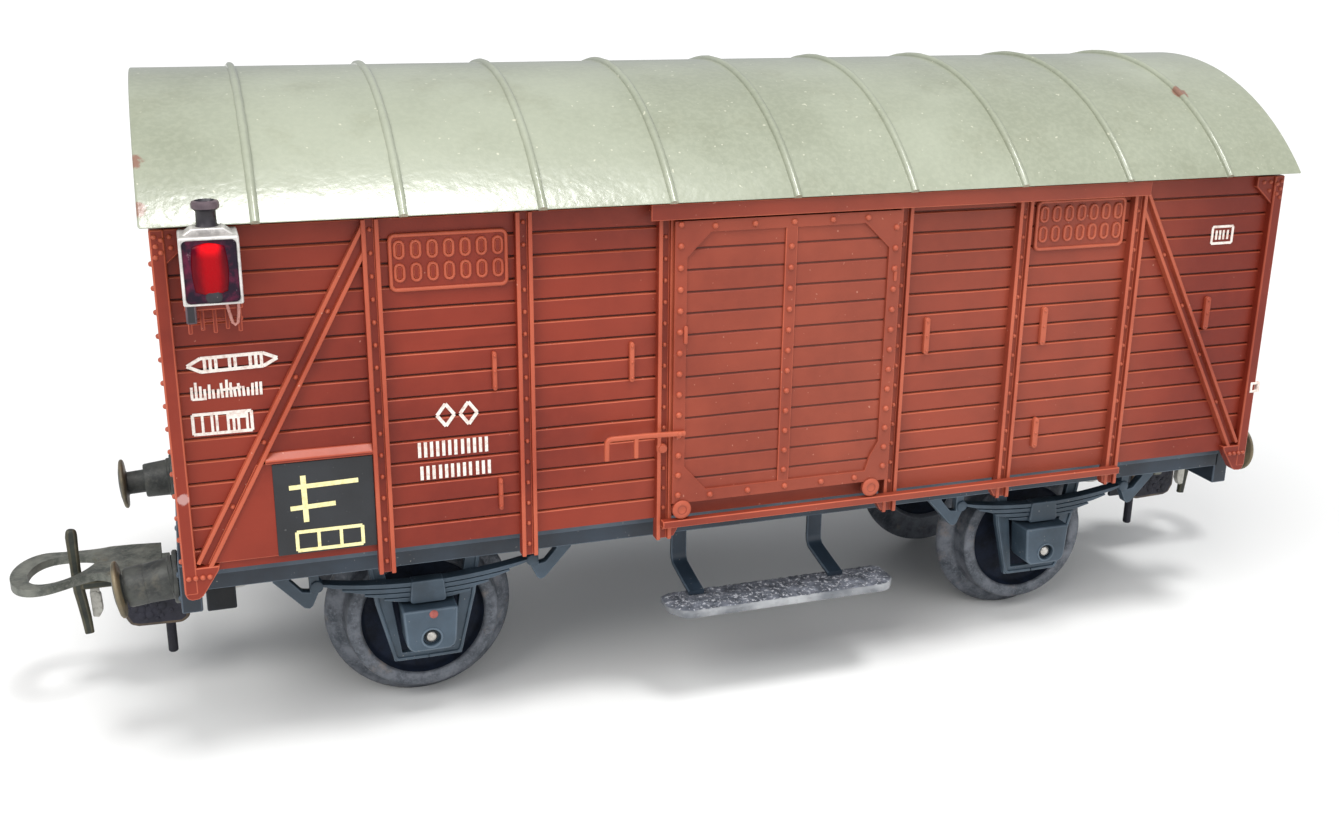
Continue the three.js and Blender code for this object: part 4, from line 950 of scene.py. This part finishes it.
box_block.prism(box_line, "y", -AXLE_BOX_FACE, -GUARD_BACK - 0.1, 0.16, segments=3)
hole = Shells()
hole.lathe([(0, 0), (0.72, 0), (0.72, 2), (0, 2)], "y", (0, -14.95, TREAD_RADIUS), 28)
box_block.carved(hole)
guard.add(box_block.verts, box_block.faces, marks=box_block.marks)
guard.lathe([(0.68, 0), (0.82, 0), (0.84, 0.06), (0.84, 0.2), (0.68, 0.2)], "y",
            (0, -AXLE_BOX_FACE - 0.05, TREAD_RADIUS), 28, [EDGE] * 5)
four_places("axle_guard", guard, GUARD_LIT_SLATE, AXLE_X, "axle_guard")
rust = Shells()
rust.rivets([(-AXLE_X + 0.2, -AXLE_BOX_FACE, 7.7)], 0.33, 0.1, mark=BASE, sides=14)
piece("axle_box_rust_spot", rust, RUST, "wagon")

spring = Shells()
SPRING_FACE, SPRING_BACK, SPRING_TOP = 12.5, 11.5, 10.0
for level, half in enumerate((8.0, 6.2, 4.6, 3.2)):
    top = SPRING_TOP - level * 0.42
    xs = steps(-half, half, 29)
    rise = [0.8 * (x / 7.9) ** 2 for x in xs]
    thick = [0.14 + 0.18 * min(1, (half - abs(x)) / 1.4) for x in xs]
    under = [(x, top - t + r) for x, r, t in zip(xs, rise, thick)]
    over = [(x, top + r) for x, r in zip(xs, rise)]
    spring.prism(under + over[::-1], "y", -SPRING_FACE + 0.05 * level, -SPRING_BACK, 0.05)
spring.prism([(-1.2, 8.3), (1.2, 8.3), (1.35, 8.5), (1.2, 10.1), (-1.2, 10.1), (-1.35, 8.5)], "y",
             -SPRING_FACE - 0.12, -SPRING_BACK, 0.12)
for sign in (-1, 1):
    strap_line = [(7.75, 10.3), (8.3, 9.1), (8.55, 8.9), (8.9, 9.0), (11.0, 11.3), (11.0, 13.3),
                  (9.85, 13.3), (9.85, 11.3), (9.0, 10.3), (8.45, 10.2), (8.5, 13.3), (7.8, 13.3)]
    spring.prism([(sign * u, v) for u, v in strap_line], "y", -SPRING_FACE + 0.1, -SPRING_BACK - 0.1, 0.08)
    spring.lathe([(0, 0), (0.4, 0), (0.46, 0.06), (0.46, 1.0), (0, 1.0)], "y",
                 (sign * 7.95, -SPRING_FACE - 0.05, SPRING_TOP + 0.6), 18)
four_places("leaf_spring", spring, GUARD_LIT_SLATE, AXLE_X, "leaf_spring")

# ---------------------------------------- wheelsets
wheel_profile = [(radius, abs(WHEEL_HIGH[1]) + out) for radius, out in (
    (0.8, 0.1), (1.6, 0.1), (1.75, 0.3), (1.95, 0.7), (4.4, 0.7), (4.65, 0.5), (4.85, 0.05), (5.0, 0),
    (6.9, 0), (7.1, 0.06), (FLANGE_RADIUS, 0.22), (FLANGE_RADIUS - 0.04, 0.42), (6.75, 0.66), (6.1, 0.95),
    (5.88, 1.2))]
wheel_profile += [(radius, abs(WHEEL_LOW[1]) - sunk) for radius, sunk in (
    (TREAD_RADIUS, 0.2), (5.74, 0.08), (5.6, 0), (4.95, 0), (4.8, 0.05), (4.7, 0.2), (4.55, 0.75),
    (4.3, 0.95), (2.1, 1.05), (1.8, 0.9), (1.65, 0.25), (1.5, 0.1), (0.8, 0.1))]
wheel_marks = [EDGE] * 5 + [BASE] * 15 + [EDGE] * 8
wheel = Shells().lathe(wheel_profile, "y", (0, 0, TREAD_RADIUS), 80, wheel_marks)
for end, sign in END_SIGNS:
    for side, turned in (("back", False), ("front", True)):
        piece(f"turned_wheel_{side}_{end}", wheel, [TYRE, DISC], f"wheelset_{end}",
              [f"wheel_{side}_{end}"], x=sign * AXLE_X, turned=turned)
journal = [(0, 13.4), (0.3, 13.36), (0.46, 13.22), (0.5, 13.0), (0.5, 12.85), (0.45, 12.8), (0.45, 10.4),
           (0.75, 10.15)]
axle_profile = [(r, -y) for r, y in journal] + journal[::-1]
axle = Shells().lathe(axle_profile, "y", (0, 0, TREAD_RADIUS), 28)
for end, sign in END_SIGNS:
    piece(f"turned_axle_{end}", axle, STEEL, f"wheelset_{end}", [f"axle_{end}"],
          x=sign * AXLE_X)

# ---------------------------------------- buffers
buffer_y = (BUFFER_LOW[1] + BUFFER_HIGH[1]) / 2
buffer_z = (BUFFER_LOW[2] + BUFFER_HIGH[2]) / 2 - RAIL_TOP
buffer_profile = [
    (0, 0.3), (1.6, 0.3), (1.6, 0.55), (1.5, 0.62), (1.4, 2.35), (1.33, 2.45), (0.96, 2.47), (0.94, 3.75),
    (1.1, 3.86), (1.9, 3.92), (2.0, 3.97), (2.06, 4.06), (2.04, 4.18), (1.9, 4.28), (1.2, 4.42), (0.5, 4.49),
    (0, 4.5)]
buffer_marks = [BASE] * 8 + [EDGE] * 5 + [BASE] * 4
sleeve_profile = [(0, -2.3), (1.42, -2.3), (1.42, -3.45), (1.3, -3.62), (0, -3.62)]
flange_profile = [(0, -0.02), (1.75, -0.02), (1.9, -0.1), (1.9, -0.32), (1.8, -0.42), (0, -0.42)]
# The stocks of the left end sag, the front one by most and with a longer sleeve, and the front one of
# the right end sits a little high.
SAG_DEGREES = {("front", "left"): 7, ("back", "left"): 3.5}
RAISED_MM = {("front", "right"): 0.25}
LONG_SLEEVE = ("front", "left")
for end, sign in END_SIGNS:
    for side, y in (("front", buffer_y), ("back", -buffer_y)):
        stock = Shells()
        sag = Matrix.Rotation(math.radians(-SAG_DEGREES.get((side, end), 0)), 4, "Y")
        root = (-HEADSTOCK_X, y * -sign, buffer_z + RAISED_MM.get((side, end), 0))
        sagged = Matrix.Translation(root) @ sag
        stock.lathe([(r, -a) for r, a in buffer_profile], "x", (0, 0, 0), 44, buffer_marks, move=sagged)
        if (side, end) == LONG_SLEEVE:
            stock.lathe(sleeve_profile, "x", (0, 0, 0), 36, move=sagged)
        stock.lathe(flange_profile, "x", root, 36)
        piece(f"buffer_{side}_{end}_turned", stock, BUFFER, "wagon", [f"buffer_{side}_{end}"],
              turned=end == "right")

# ---------------------------------------- couplings
pocket = Shells()
pocket.box(-41.9, -36.5, -3.2, 3.2, 9.5, 13.35, 0.25, segments=3)
for sign in (-1, 1):
    y0, y1 = sorted((sign * 3.15, sign * 3.55))
    pocket.box(-41.9, -39.7, y0, y1, 5.6, 9.9, 0.12)
both(ENDS, "coupling_mount", pocket, POCKET_SHADED_BLACK, "coupling_pocket_{}")

head = Shells()
head.prism([(-48.0, 5.4), (-47.6, 4.6), (-47.0, 4.4), (-43.8, 4.3), (-43.2, 4.7), (-43.2, 7.0),
            (-37.6, 7.0), (-37.6, 8.1), (-48.0, 8.1)], "y", -2.2, 2.2, 0.3, segments=3)
head.lathe([(0, 8.0), (1.8, 8.0), (1.8, 9.3), (1.7, 9.4), (0, 9.4)], "z", (PIVOT_X, 0, 0), 32)
head.lathe([(0, 0.95), (0.3, 1.0), (0.38, 1.1), (0.38, 4.6), (0, 4.6)], "z", (-44.75, 0, 0), 16)
lumps = random.Random(7)
for _ in range(40):
    x, z = lumps.uniform(-47.5, -43.7), lumps.uniform(4.8, 7.4)
    for y, side in ((-2.2, -1), (2.2, 1)):
        spot = (x + lumps.uniform(-0.2, 0.2), y, z)
        head.rivets([spot], lumps.uniform(0.14, 0.34), lumps.uniform(0.04, 0.1), (0, side, 0), BASE)
both(ENDS, "drawbar_head", head, ROUGH_METAL, "coupling_drawbar_{}", "coupling_{}")


def joined_curve(*handles, count=12):
    """Points of cubic curves in a row, without the last point. Each curve takes three more handles."""
    points = []
    for first in range(0, len(handles) - 1, 3):
        for t in (i / count for i in range(count)):
            weights = ((1 - t) ** 3, 3 * t * (1 - t) ** 2, 3 * t * t * (1 - t), t ** 3)
            span = handles[first:first + 4]
            points.append(tuple(sum(w * p[k] for w, p in zip(weights, span)) for k in range(2)))
    return points


bow_line = [(-44.95, -3.0), (-44.95, 3.0), (-47.2, 3.3)] + joined_curve(
    (-48.7, 3.35), (-49.9, 3.0), (-51.6, 3.2), (-53.0, 3.42), (-54.6, 3.6), (-55.75, 1.6), (-55.75, -0.4),
    (-55.7, -2.4), (-54.9, -3.4), (-53.7, -3.4), (-52.3, -3.4), (-51.0, -1.9), (-49.7, -1.7),
    (-48.9, -1.7), (-48.5, -2.9), (-47.6, -3.0)) + [(-47.6, -3.0)]
eye_line = joined_curve(
    (-49.5, 1.0), (-49.6, 2.0), (-51.0, 2.3), (-52.2, 2.3), (-53.7, 2.3), (-54.5, 0.8), (-54.5, -0.8),
    (-54.5, -2.0), (-54.0, -2.6), (-53.2, -2.6), (-51.7, -2.6), (-50.2, -0.9), (-49.5, 1.0))
LOOP_TOP = 9.1
loop = Shells().prism(bow_line, "z", LOOP_TOP - 0.62, LOOP_TOP, 0)
loop.carved(Shells().prism(eye_line, "z", 7, 10, 0))
for y in (-2.72, 2.72):
    loop.prism([(-45.8, 6.95), (-44.95, 6.95), (-44.95, 8.6), (-46.3, 8.6)], "y", y - 0.27, y + 0.27, 0.1)
loop.box(-45.1, -44.3, -1.0, 1.0, 8.55, 9.05, 0.1)
both(ENDS, "loop_bow", loop, COUPLING, "coupling_loop_{}", "coupling_loop_{}")

hook = Shells()
hook_line = ((-50.72, 3.5, 0.85), (-50.82, 4.8, 0.95), (-50.98, 6.2, 1), (-51.1, 7.1, 1.05),
             (-51.16, 8.0, 1), (-51.18, 9.0, 0.95), (-51.2, 10.4, 1), (-51.2, 11.6, 1.1), (-51.18, 11.95, 1),
             (-51.16, 12.12, 0.8), (-51.15, 12.2, 0.5))
hook.sweep([(x, 0, z) for x, z, _ in hook_line], round_section(0.8, 0.6, 0.24), marks=SECTION_MARKS,
           scales=[scale for _, _, scale in hook_line])
hook.box(-50.9, -47.0, -0.42, 0.42, 7.25, 7.92, 0.16)
both(ENDS, "hook_pin", hook, DARK_METAL, "coupling_hook_{}", "coupling_{}")
trip = Shells()
trip_line = [(-50.35, 4.7), (-49.9, 4.6), (-49.55, 5.2), (-49.6, 6.5), (-49.95, 6.9), (-50.4, 6.8)]
trip.prism(trip_line, "y", 0.1, 0.75, 0.1)
trip.box(-50.35, -49.7, 0.15, 0.65, 6.7, 7.4, 0.06)
both(ENDS, "hook_trip_plate", trip, PALE * 2, None, "coupling_{}")
pin = Shells().lathe([(0, -3.15), (0.22, -3.12), (0.28, -3.05), (0.28, 3.05), (0.22, 3.12), (0, 3.15)], "y",
                     (-45.2, 0, 7.55), 18)
both(ENDS, "hinge_pin", pin, STEEL, "coupling_hinge_pin_{}", "coupling_{}")
screw = Shells()
screw.lathe([(0, 6.2), (1.0, 6.2), (1.2, 6.35), (1.2, 6.9), (0.5, 6.9), (0.5, 13.3), (0, 13.3)], "z",
            (PIVOT_X, 0, 0), 28)
screw.carved(Shells().box(-41, -38, -0.14, 0.14, 6, 6.45, 0))
both(ENDS, "pivot_screw", screw, STEEL, "coupling_pivot_screw_{}")

# ---------------------------------------- step boards
board = Shells()
board_half, board_middle = (STEP_HIGH[0] - STEP_LOW[0]) / 2, (STEP_HIGH[0] + STEP_LOW[0]) / 2
board_front, board_back = STEP_LOW[1], STEP_HIGH[1]
board_top = STEP_HIGH[2] - RAIL_TOP
board_bottom = STEP_LOW[2] - RAIL_TOP


def board_span(x):
    """The front and back edge of the step board at x: its ends are rounded."""
    reach = board_half - abs(x)
    front_cut, back_cut = [radius - math.sqrt(max(0, radius ** 2 - max(0, radius - reach) ** 2))
                           for radius in (1.7, 0.6)]
    return board_front + front_cut, board_back - back_cut


columns, rows = 150, 22
verts, faces, marks, undersides = [], [], [], []
for s in steps(-1, 1, columns):
    x = board_half * (math.sin(math.pi / 2 * s) if abs(s) > 0.93 else s)
    y0, y1 = board_span(x)
    for k in range(rows):
        y = y0 + (y1 - y0) * k / (rows - 1)
        near = min(y - y0, y1 - y, board_half - abs(x))
        rough = 0.1 * noise.noise(Vector((x * 2.3, y * 2.3, 1)))
        rough += 0.08 * noise.noise(Vector((x * 5.5, y * 5.5, 4)))
        drop = 0.16 * max(0, 1 - near / 0.22) ** 2
        verts.append((x, y, board_top - 0.06 + rough * min(1, near / 0.4) - drop))
        undersides.append((x, y, board_bottom))
under = len(verts)
for i in range(columns - 1):
    for k in range(rows - 1):
        a, b = i * rows + k, (i + 1) * rows + k
        faces += [[a, b, b + 1, a + 1], [under + a, under + a + 1, under + b + 1, under + b]]
        marks += [BASE if 0 < k < rows - 2 else EDGE, BASE]
    for k in (0, rows - 1):
        a, b = i * rows + k, (i + 1) * rows + k
        faces.append([a, b, under + b, under + a])
        marks.append(EDGE)
for i in (0, columns - 1):
    for a in range(i * rows, (i + 1) * rows - 1):
        faces.append([a, a + 1, under + a + 1, under + a])
        marks.append(EDGE)
board.add(verts + undersides, faces, marks=marks, move=Matrix.Translation((board_middle, 0, 0)))
both(SIDES, "step_deck", board, BOARD, "step_board_{}")

bracket = Shells()
bracket.sweep([(0, -10.2, 13.3), (0, -10.2, 10.5), (0, -10.2, 8.8), (0, -10.28, 8.3), (0, -10.6, 7.95),
               (0, -11.2, 7.8), (0, -13.0, 7.42), (0, -14.6, 7.12)],
              round_section(0.36, 1.3, 0.1), (1, 0, 0), marks=SECTION_MARKS)
four_places("step_hanger", bracket, SLATE, 5.9, "step_bracket")

# ---------------------------------------- notice panels
panel_plate = Shells()
plate_line = [(-41.5, 15.0), (-30.2, 15.0), (-30.2, 21.7), (-37.9, 21.7)]
panel_plate.prism(plate_line, "y", -WALL_OUT - 0.3, -WALL_OUT + 0.1, 0.06)
ledge_line = [(-WALL_OUT - out, z) for out, z in
              ((0.55, 21.72), (0.55, 21.95), (0.1, 22.4), (-0.1, 22.4), (-0.1, 21.72))]
# The ledge's sloped and top faces take the EDGE finish: a painted highlight where it faces up.
panel_plate.prism(ledge_line, "x", -37.3, -30.2, 0.06, sides=[BASE, EDGE, EDGE, BASE, BASE])
both(SIDES, "notice_plate", panel_plate, RED)
panel = Shells()
panel_out = WALL_OUT + 0.36
panel.box(-36.9, -30.25, -panel_out, -WALL_OUT - 0.26, 15.0, 21.62, 0.03)
both(SIDES, "notice_face", panel, BLACK_PANEL * 2, "notice_panel_{}")


PRINT_THICKNESS, PRINT_STEP, PRINT_SPREAD = 0.03, 0.0013, 0.02
last_print = [PRINT_THICKNESS]


def stroke(shells, x0, z0, x1, z1, width, out):
    """A thin printed bar from one point to another. Each next bar is a hair thicker, so none coincide."""
    line = Vector((x1 - x0, z1 - z0))
    across = Vector((-line.y, line.x)).normalized() * width / 2
    ends = [(x0 + across.x, z0 + across.y), (x1 + across.x, z1 + across.y), (x1 - across.x, z1 - across.y),
            (x0 - across.x, z0 - across.y)]
    last_print[0] = PRINT_THICKNESS + (last_print[0] - PRINT_THICKNESS + PRINT_STEP) % PRINT_SPREAD
    shells.prism(ends, "y", -out - last_print[0], -out, 0)


def outline_strokes(shells, points, width, out):
    for (x0, z0), (x1, z1) in zip(points, points[1:] + points[:1]):
        stroke(shells, x0, z0, x1, z1, width, out)


def uprights(shells, xs, z0, z1, width, out):
    for x in xs:
        stroke(shells, x, z0, x, z1, width, out)


chart = Shells()
stroke(chart, -35.9, 19.85, -31.3, 19.95, 0.32, panel_out)
stroke(chart, -35.9, 18.35, -32.9, 18.45, 0.32, panel_out)
stroke(chart, -34.9, 17.3, -34.95, 20.65, 0.36, panel_out)
outline_strokes(chart, rectangle(-35.6, -31.2, 15.25, 16.6), 0.24, panel_out)
uprights(chart, (-34.15, -32.65), 15.25, 16.6, 0.22, panel_out)
both(SIDES, "notice_lines", chart, CREAM)

# ---------------------------------------- generic markings
STROKE_PITCH = 0.42
marks_white = Shells()
pen = random.Random(11)
out = WALL_OUT + 0.005
lozenge = [(-41.65, 28.75), (-40.8, 28.32), (-36.9, 28.42), (-36.0, 28.9), (-36.9, 29.3), (-40.8, 29.22)]
outline_strokes(marks_white, lozenge, 0.22, out)
uprights(marks_white, (-40.55, -40.2, -39.85, -39.0, -38.65, -37.7, -37.35, -37.0), 28.4, 29.2, 0.2, out)
for i in range(17):
    x = -41.5 + i * 0.27
    tall = pen.uniform(0.55, 1.2)
    stroke(marks_white, x, 26.48, x + pen.uniform(-0.05, 0.05), 26.48 + tall, 0.17, out)
stroke(marks_white, -41.5, 26.5, -40.6, 26.5, 0.16, out)
stroke(marks_white, -39.6, 27.0, -38.4, 27.1, 0.16, out)
outline_strokes(marks_white, rectangle(-41.6, -37.9, 24.1, 25.45), 0.2, out)
uprights(marks_white, (-41.0, -40.4, -40.1, -39.4, -39.05, -38.75, -38.2), 24.15, 25.4, 0.17, out)
stroke(marks_white, -39.4, 25.2, -38.2, 25.2, 0.4, out)
for x in (-25.7, -24.1):
    outline_strokes(marks_white, [(x, 23.9), (x + 0.6, 23.1), (x + 1.2, 23.9), (x + 0.6, 24.7)], 0.24, out)
for z, tall, spans in ((20.95, 1.1, ((-27.0, 1.7), (-24.9, 0.5), (-24.0, 1.9))),
                       (19.3, 1.0, ((-26.9, 0.9), (-25.6, 2.1), (-23.0, 1.1)))):
    for x, wide in spans:
        xs = [x + i * STROKE_PITCH for i in range(int(wide / STROKE_PITCH) + 1)]
        uprights(marks_white, xs, z, z + tall, 0.22, out)
outline_strokes(marks_white, rectangle(37.2, 39.15, 32.45, 33.8), 0.2, out)
uprights(marks_white, (37.6, 37.95, 38.3, 38.7), 32.75, 33.5, 0.18, out)
both(SIDES, "side_markings", marks_white, WHITE)
corner_mark = Shells()
corner_mark.ring(rectangle(42.62, 43.55, 19.55, 20.45), rectangle(42.82, 43.35, 19.75, 20.25), "y",
                 -POST_OUT - 0.06, -POST_OUT + 0.3, 0.03)
both(SIDES, "corner_marking", corner_mark, WHITE)

# ---------------------------------------- tail lamps
lamp_x = (LAMP_LOW[0] + LAMP_HIGH[0]) / 2
lamp_half = (LAMP_HIGH[0] - LAMP_LOW[0]) / 2
lamp_front, lamp_back = LAMP_LOW[1], LAMP_HIGH[1]
lamp_bottom, lamp_top = 33.65, 37.9
lamp_middle = (lamp_bottom + lamp_top) / 2
recess_z = lamp_middle - 0.03
case, recess_tool = Shells(), Shells()
case.box(lamp_x - lamp_half, lamp_x + lamp_half, lamp_front, lamp_back, lamp_bottom, lamp_top, 0.14,
         segments=3)
recess_line = round_section(3.2, 3.92, 0.3, 4)
recess_hole = [(lamp_x + u, recess_z + v) for u, v in recess_line]
recess_tool.prism(recess_hole, "y", lamp_front - 1, lamp_front + 0.3, 0)
case.carved(recess_tool)
chimney_y = (lamp_front + lamp_back) / 2
pane = Shells()
pane_line = [(lamp_x + u * 0.99, recess_z + v * 0.99) for u, v in recess_line]
pane.prism(pane_line, "y", lamp_front + 0.16, lamp_front + 0.28, 0)
lens = Shells()
LENS_RINGS, LENS_SIDES = 9, 32
LENS_HALF_WIDTH, LENS_HALF_HEIGHT, LENS_BULGE = 1.1, 1.62, 0.34
lens_x, lens_y, lens_z = lamp_x - 0.05, lamp_front + 0.2, lamp_middle + 0.12
verts = []
for i in range(LENS_RINGS):
    t = math.pi / 2 * i / LENS_RINGS
    for k in range(LENS_SIDES):
        a = 2 * math.pi * k / LENS_SIDES
        square = 1 / max(abs(math.cos(a)), abs(math.sin(a))) ** 0.6
        verts.append((lens_x + LENS_HALF_WIDTH * math.cos(t) * square * math.cos(a),
                      lens_y - LENS_BULGE * math.sin(t),
                      lens_z + LENS_HALF_HEIGHT * math.cos(t) * square * math.sin(a)))
verts.append((lens_x, lens_y - LENS_BULGE, lens_z))
faces = tube_faces(LENS_RINGS, LENS_SIDES)
last = (LENS_RINGS - 1) * LENS_SIDES
faces += [[last + k, last + (k + 1) % LENS_SIDES, len(verts) - 1] for k in range(LENS_SIDES)]
faces.append(list(range(LENS_SIDES)))
lens.add(verts, faces)
socket = Shells()
socket.lathe([(0, 0), (0.4, 0.0), (0.5, 0.08), (0.5, 0.2), (0, 0.2)], "y",
             (lamp_x + 0.05, lamp_front + 0.06, lamp_bottom + 0.5), 20)
lid_line = [(lamp_x + u, z) for u, z in ((-1.55, 37.85), (1.55, 37.85), (0.95, 38.3), (-0.95, 38.3))]
case.prism(lid_line, "y", chimney_y - 0.95, chimney_y + 0.6, 0.1)
chimney = Shells()
chimney.lathe([(0, 38.2), (0.7, 38.2), (0.7, 38.3), (0.62, 38.4), (0.6, 39.2), (0.72, 39.32), (0.84, 39.4),
               (0.86, 39.62), (0.8, 39.8), (0.6, 39.86), (0.5, 39.7), (0, 39.68)], "z",
              (lamp_x, chimney_y, 0), 32, [BASE] * 6 + [EDGE] * 3 + [BASE] * 2)
clip = Shells()
clip.box(lamp_x - 1.75, lamp_x + 1.75, -18.3, -WALL_OUT - 0.05, 32.9, 33.6, 0.1)
clip.box(lamp_x - 1.6, lamp_x + 1.6, -WALL_OUT - 0.75, -WALL_OUT - 0.05, 33.5, 36.9, 0.08)
for i in range(5):
    x = lamp_x - 1.5 + i * 0.75
    clip.box(x - 0.13, x + 0.13, -18.2, -17.9, 31.4 + 0.2 * (i % 2), 33.0, 0.06)
clip.box(lamp_x - 1.7, lamp_x + 1.7, -18.15, -17.95, 32.1, 32.35, 0.05)
wire = Shells()
wire_path = [(lamp_x + across, y, z) for across, y, z in
             ((0.75, -18.45, 33.5), (0.9, -18.5, 32.7), (1.05, -18.55, 32.1), (1.2, -18.55, 31.95),
              (1.36, -18.55, 32.1), (1.46, -18.5, 32.7), (1.5, -18.45, 33.5))]
wire.sweep(wire_path, round_section(0.2, 0.2, 0.09))
stub = Shells()
stub.box(lamp_x - 1.7, lamp_x - 1.05, -18.9, -17.9, 32.2, 33.6, 0.12)
for side, mirrored in SIDES:
    lamp_pieces = (("lamp_case", case, SILVER, "lamp_silver", [f"tail_lamp_case_{side}"]),
                   ("lamp_pane", pane, PANE, "lamp_silver", []),
                   ("lamp_lens", lens, LENS, "lens_red", [f"tail_lamp_lens_{side}"]),
                   ("lamp_socket", socket, LAMP_BLACK, "panel_black", []),
                   ("lamp_chimney", chimney, LAMP_BLACK, "panel_black", []),
                   ("lamp_clip", clip, RED, "body_red", [f"tail_lamp_bracket_{side}"]),
                   ("lamp_wire", wire, ROSE, "lamp_silver", []),
                   ("lamp_stub", stub, LAMP_BLACK, "panel_black", []))
    for name, shells, materials, slot, nodes in lamp_pieces:
        piece(f"{name}_{side}", shells, materials, "wagon", nodes, mirrored=mirrored)

# ---------------------------------------- CAD nodes that stay
for name, material in (("ballast_weight", WEIGHT), ("floor_screw_left", STEEL[0]),
                       ("floor_screw_right", STEEL[0])):
    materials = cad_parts[name].data.materials
    materials.clear()
    materials.append(material)

# ---------------------------------------- floor, light and camera
floor_finish = Finish("studio_floor", roughness=0.6)
cloudy_inputs = {"Factor": floor_finish.band(floor_finish.noise(120.0, 2.0), 0.3, 0.7),
                 "A": (0.80, 0.80, 0.79, 1), "B": (0.83, 0.83, 0.82, 1)}
cloudy = floor_finish.node("ShaderNodeMix", cloudy_inputs, data_type="RGBA")
floor_finish.feed(floor_finish.shader.inputs["Base Color"], cloudy.outputs["Result"])
floor_mesh = bpy.data.meshes.new("studio_floor")
FLOOR_REACH = 6.0
floor_corners = rectangle(-FLOOR_REACH, FLOOR_REACH, -FLOOR_REACH, FLOOR_REACH)
floor_mesh.from_pydata([(x, y, 0) for x, y in floor_corners], [], [[0, 1, 2, 3]])
floor_mesh.materials.append(floor_finish.material)
studio_floor = bpy.data.objects.new("studio_floor", floor_mesh)
bpy.context.scene.collection.objects.link(studio_floor)


def window(name, direction, strength, spread_degrees, colour=(1, 1, 1)):
    """An even, distant soft light that shines from a direction."""
    lamp = bpy.data.lights.new(name, "SUN")
    lamp.energy = strength
    lamp.angle = math.radians(spread_degrees)
    lamp.color = colour
    obj = bpy.data.objects.new(name, lamp)
    obj.rotation_euler = (-Vector(direction)).to_track_quat("-Z", "Y").to_euler()
    bpy.context.scene.collection.objects.link(obj)


window("window_left", (-0.62, -0.40, 0.72), 1.9, 40, (1.0, 0.99, 0.97))
window("front_fill", (0.25, -0.85, 0.50), 1.1, 70)
window("overhead", (0.10, -0.27, 0.96), 1.6, 16)

world = bpy.data.worlds.new("studio")
bpy.context.scene.world = world
world.use_nodes = True
world.node_tree.nodes["Background"].inputs["Color"].default_value = (0.93, 0.96, 1.0, 1)
world.node_tree.nodes["Background"].inputs["Strength"].default_value = 0.45
bpy.context.scene.view_settings.view_transform = "Standard"

camera_data = bpy.data.cameras.new("camera")
camera_data.sensor_width = 36.0
camera_data.lens = 38.55
camera_data.clip_start = 0.005
camera_data.clip_end = 20.0
camera = bpy.data.objects.new("camera", camera_data)
camera_right = Vector((0.94624, -0.32326, 0.01125))
camera_down = Vector((-0.08972, -0.29571, -0.95106))
camera_forward = Vector((0.31076, 0.89892, -0.30881))
camera_turn = Matrix((camera_right, -camera_down, -camera_forward)).transposed().to_4x4()
camera_place = Vector((-41.164, -109.676, 54.999 + RAIL_TOP)) * MM
camera.matrix_world = Matrix.Translation(camera_place) @ camera_turn
bpy.context.scene.collection.objects.link(camera)
bpy.context.scene.camera = camera
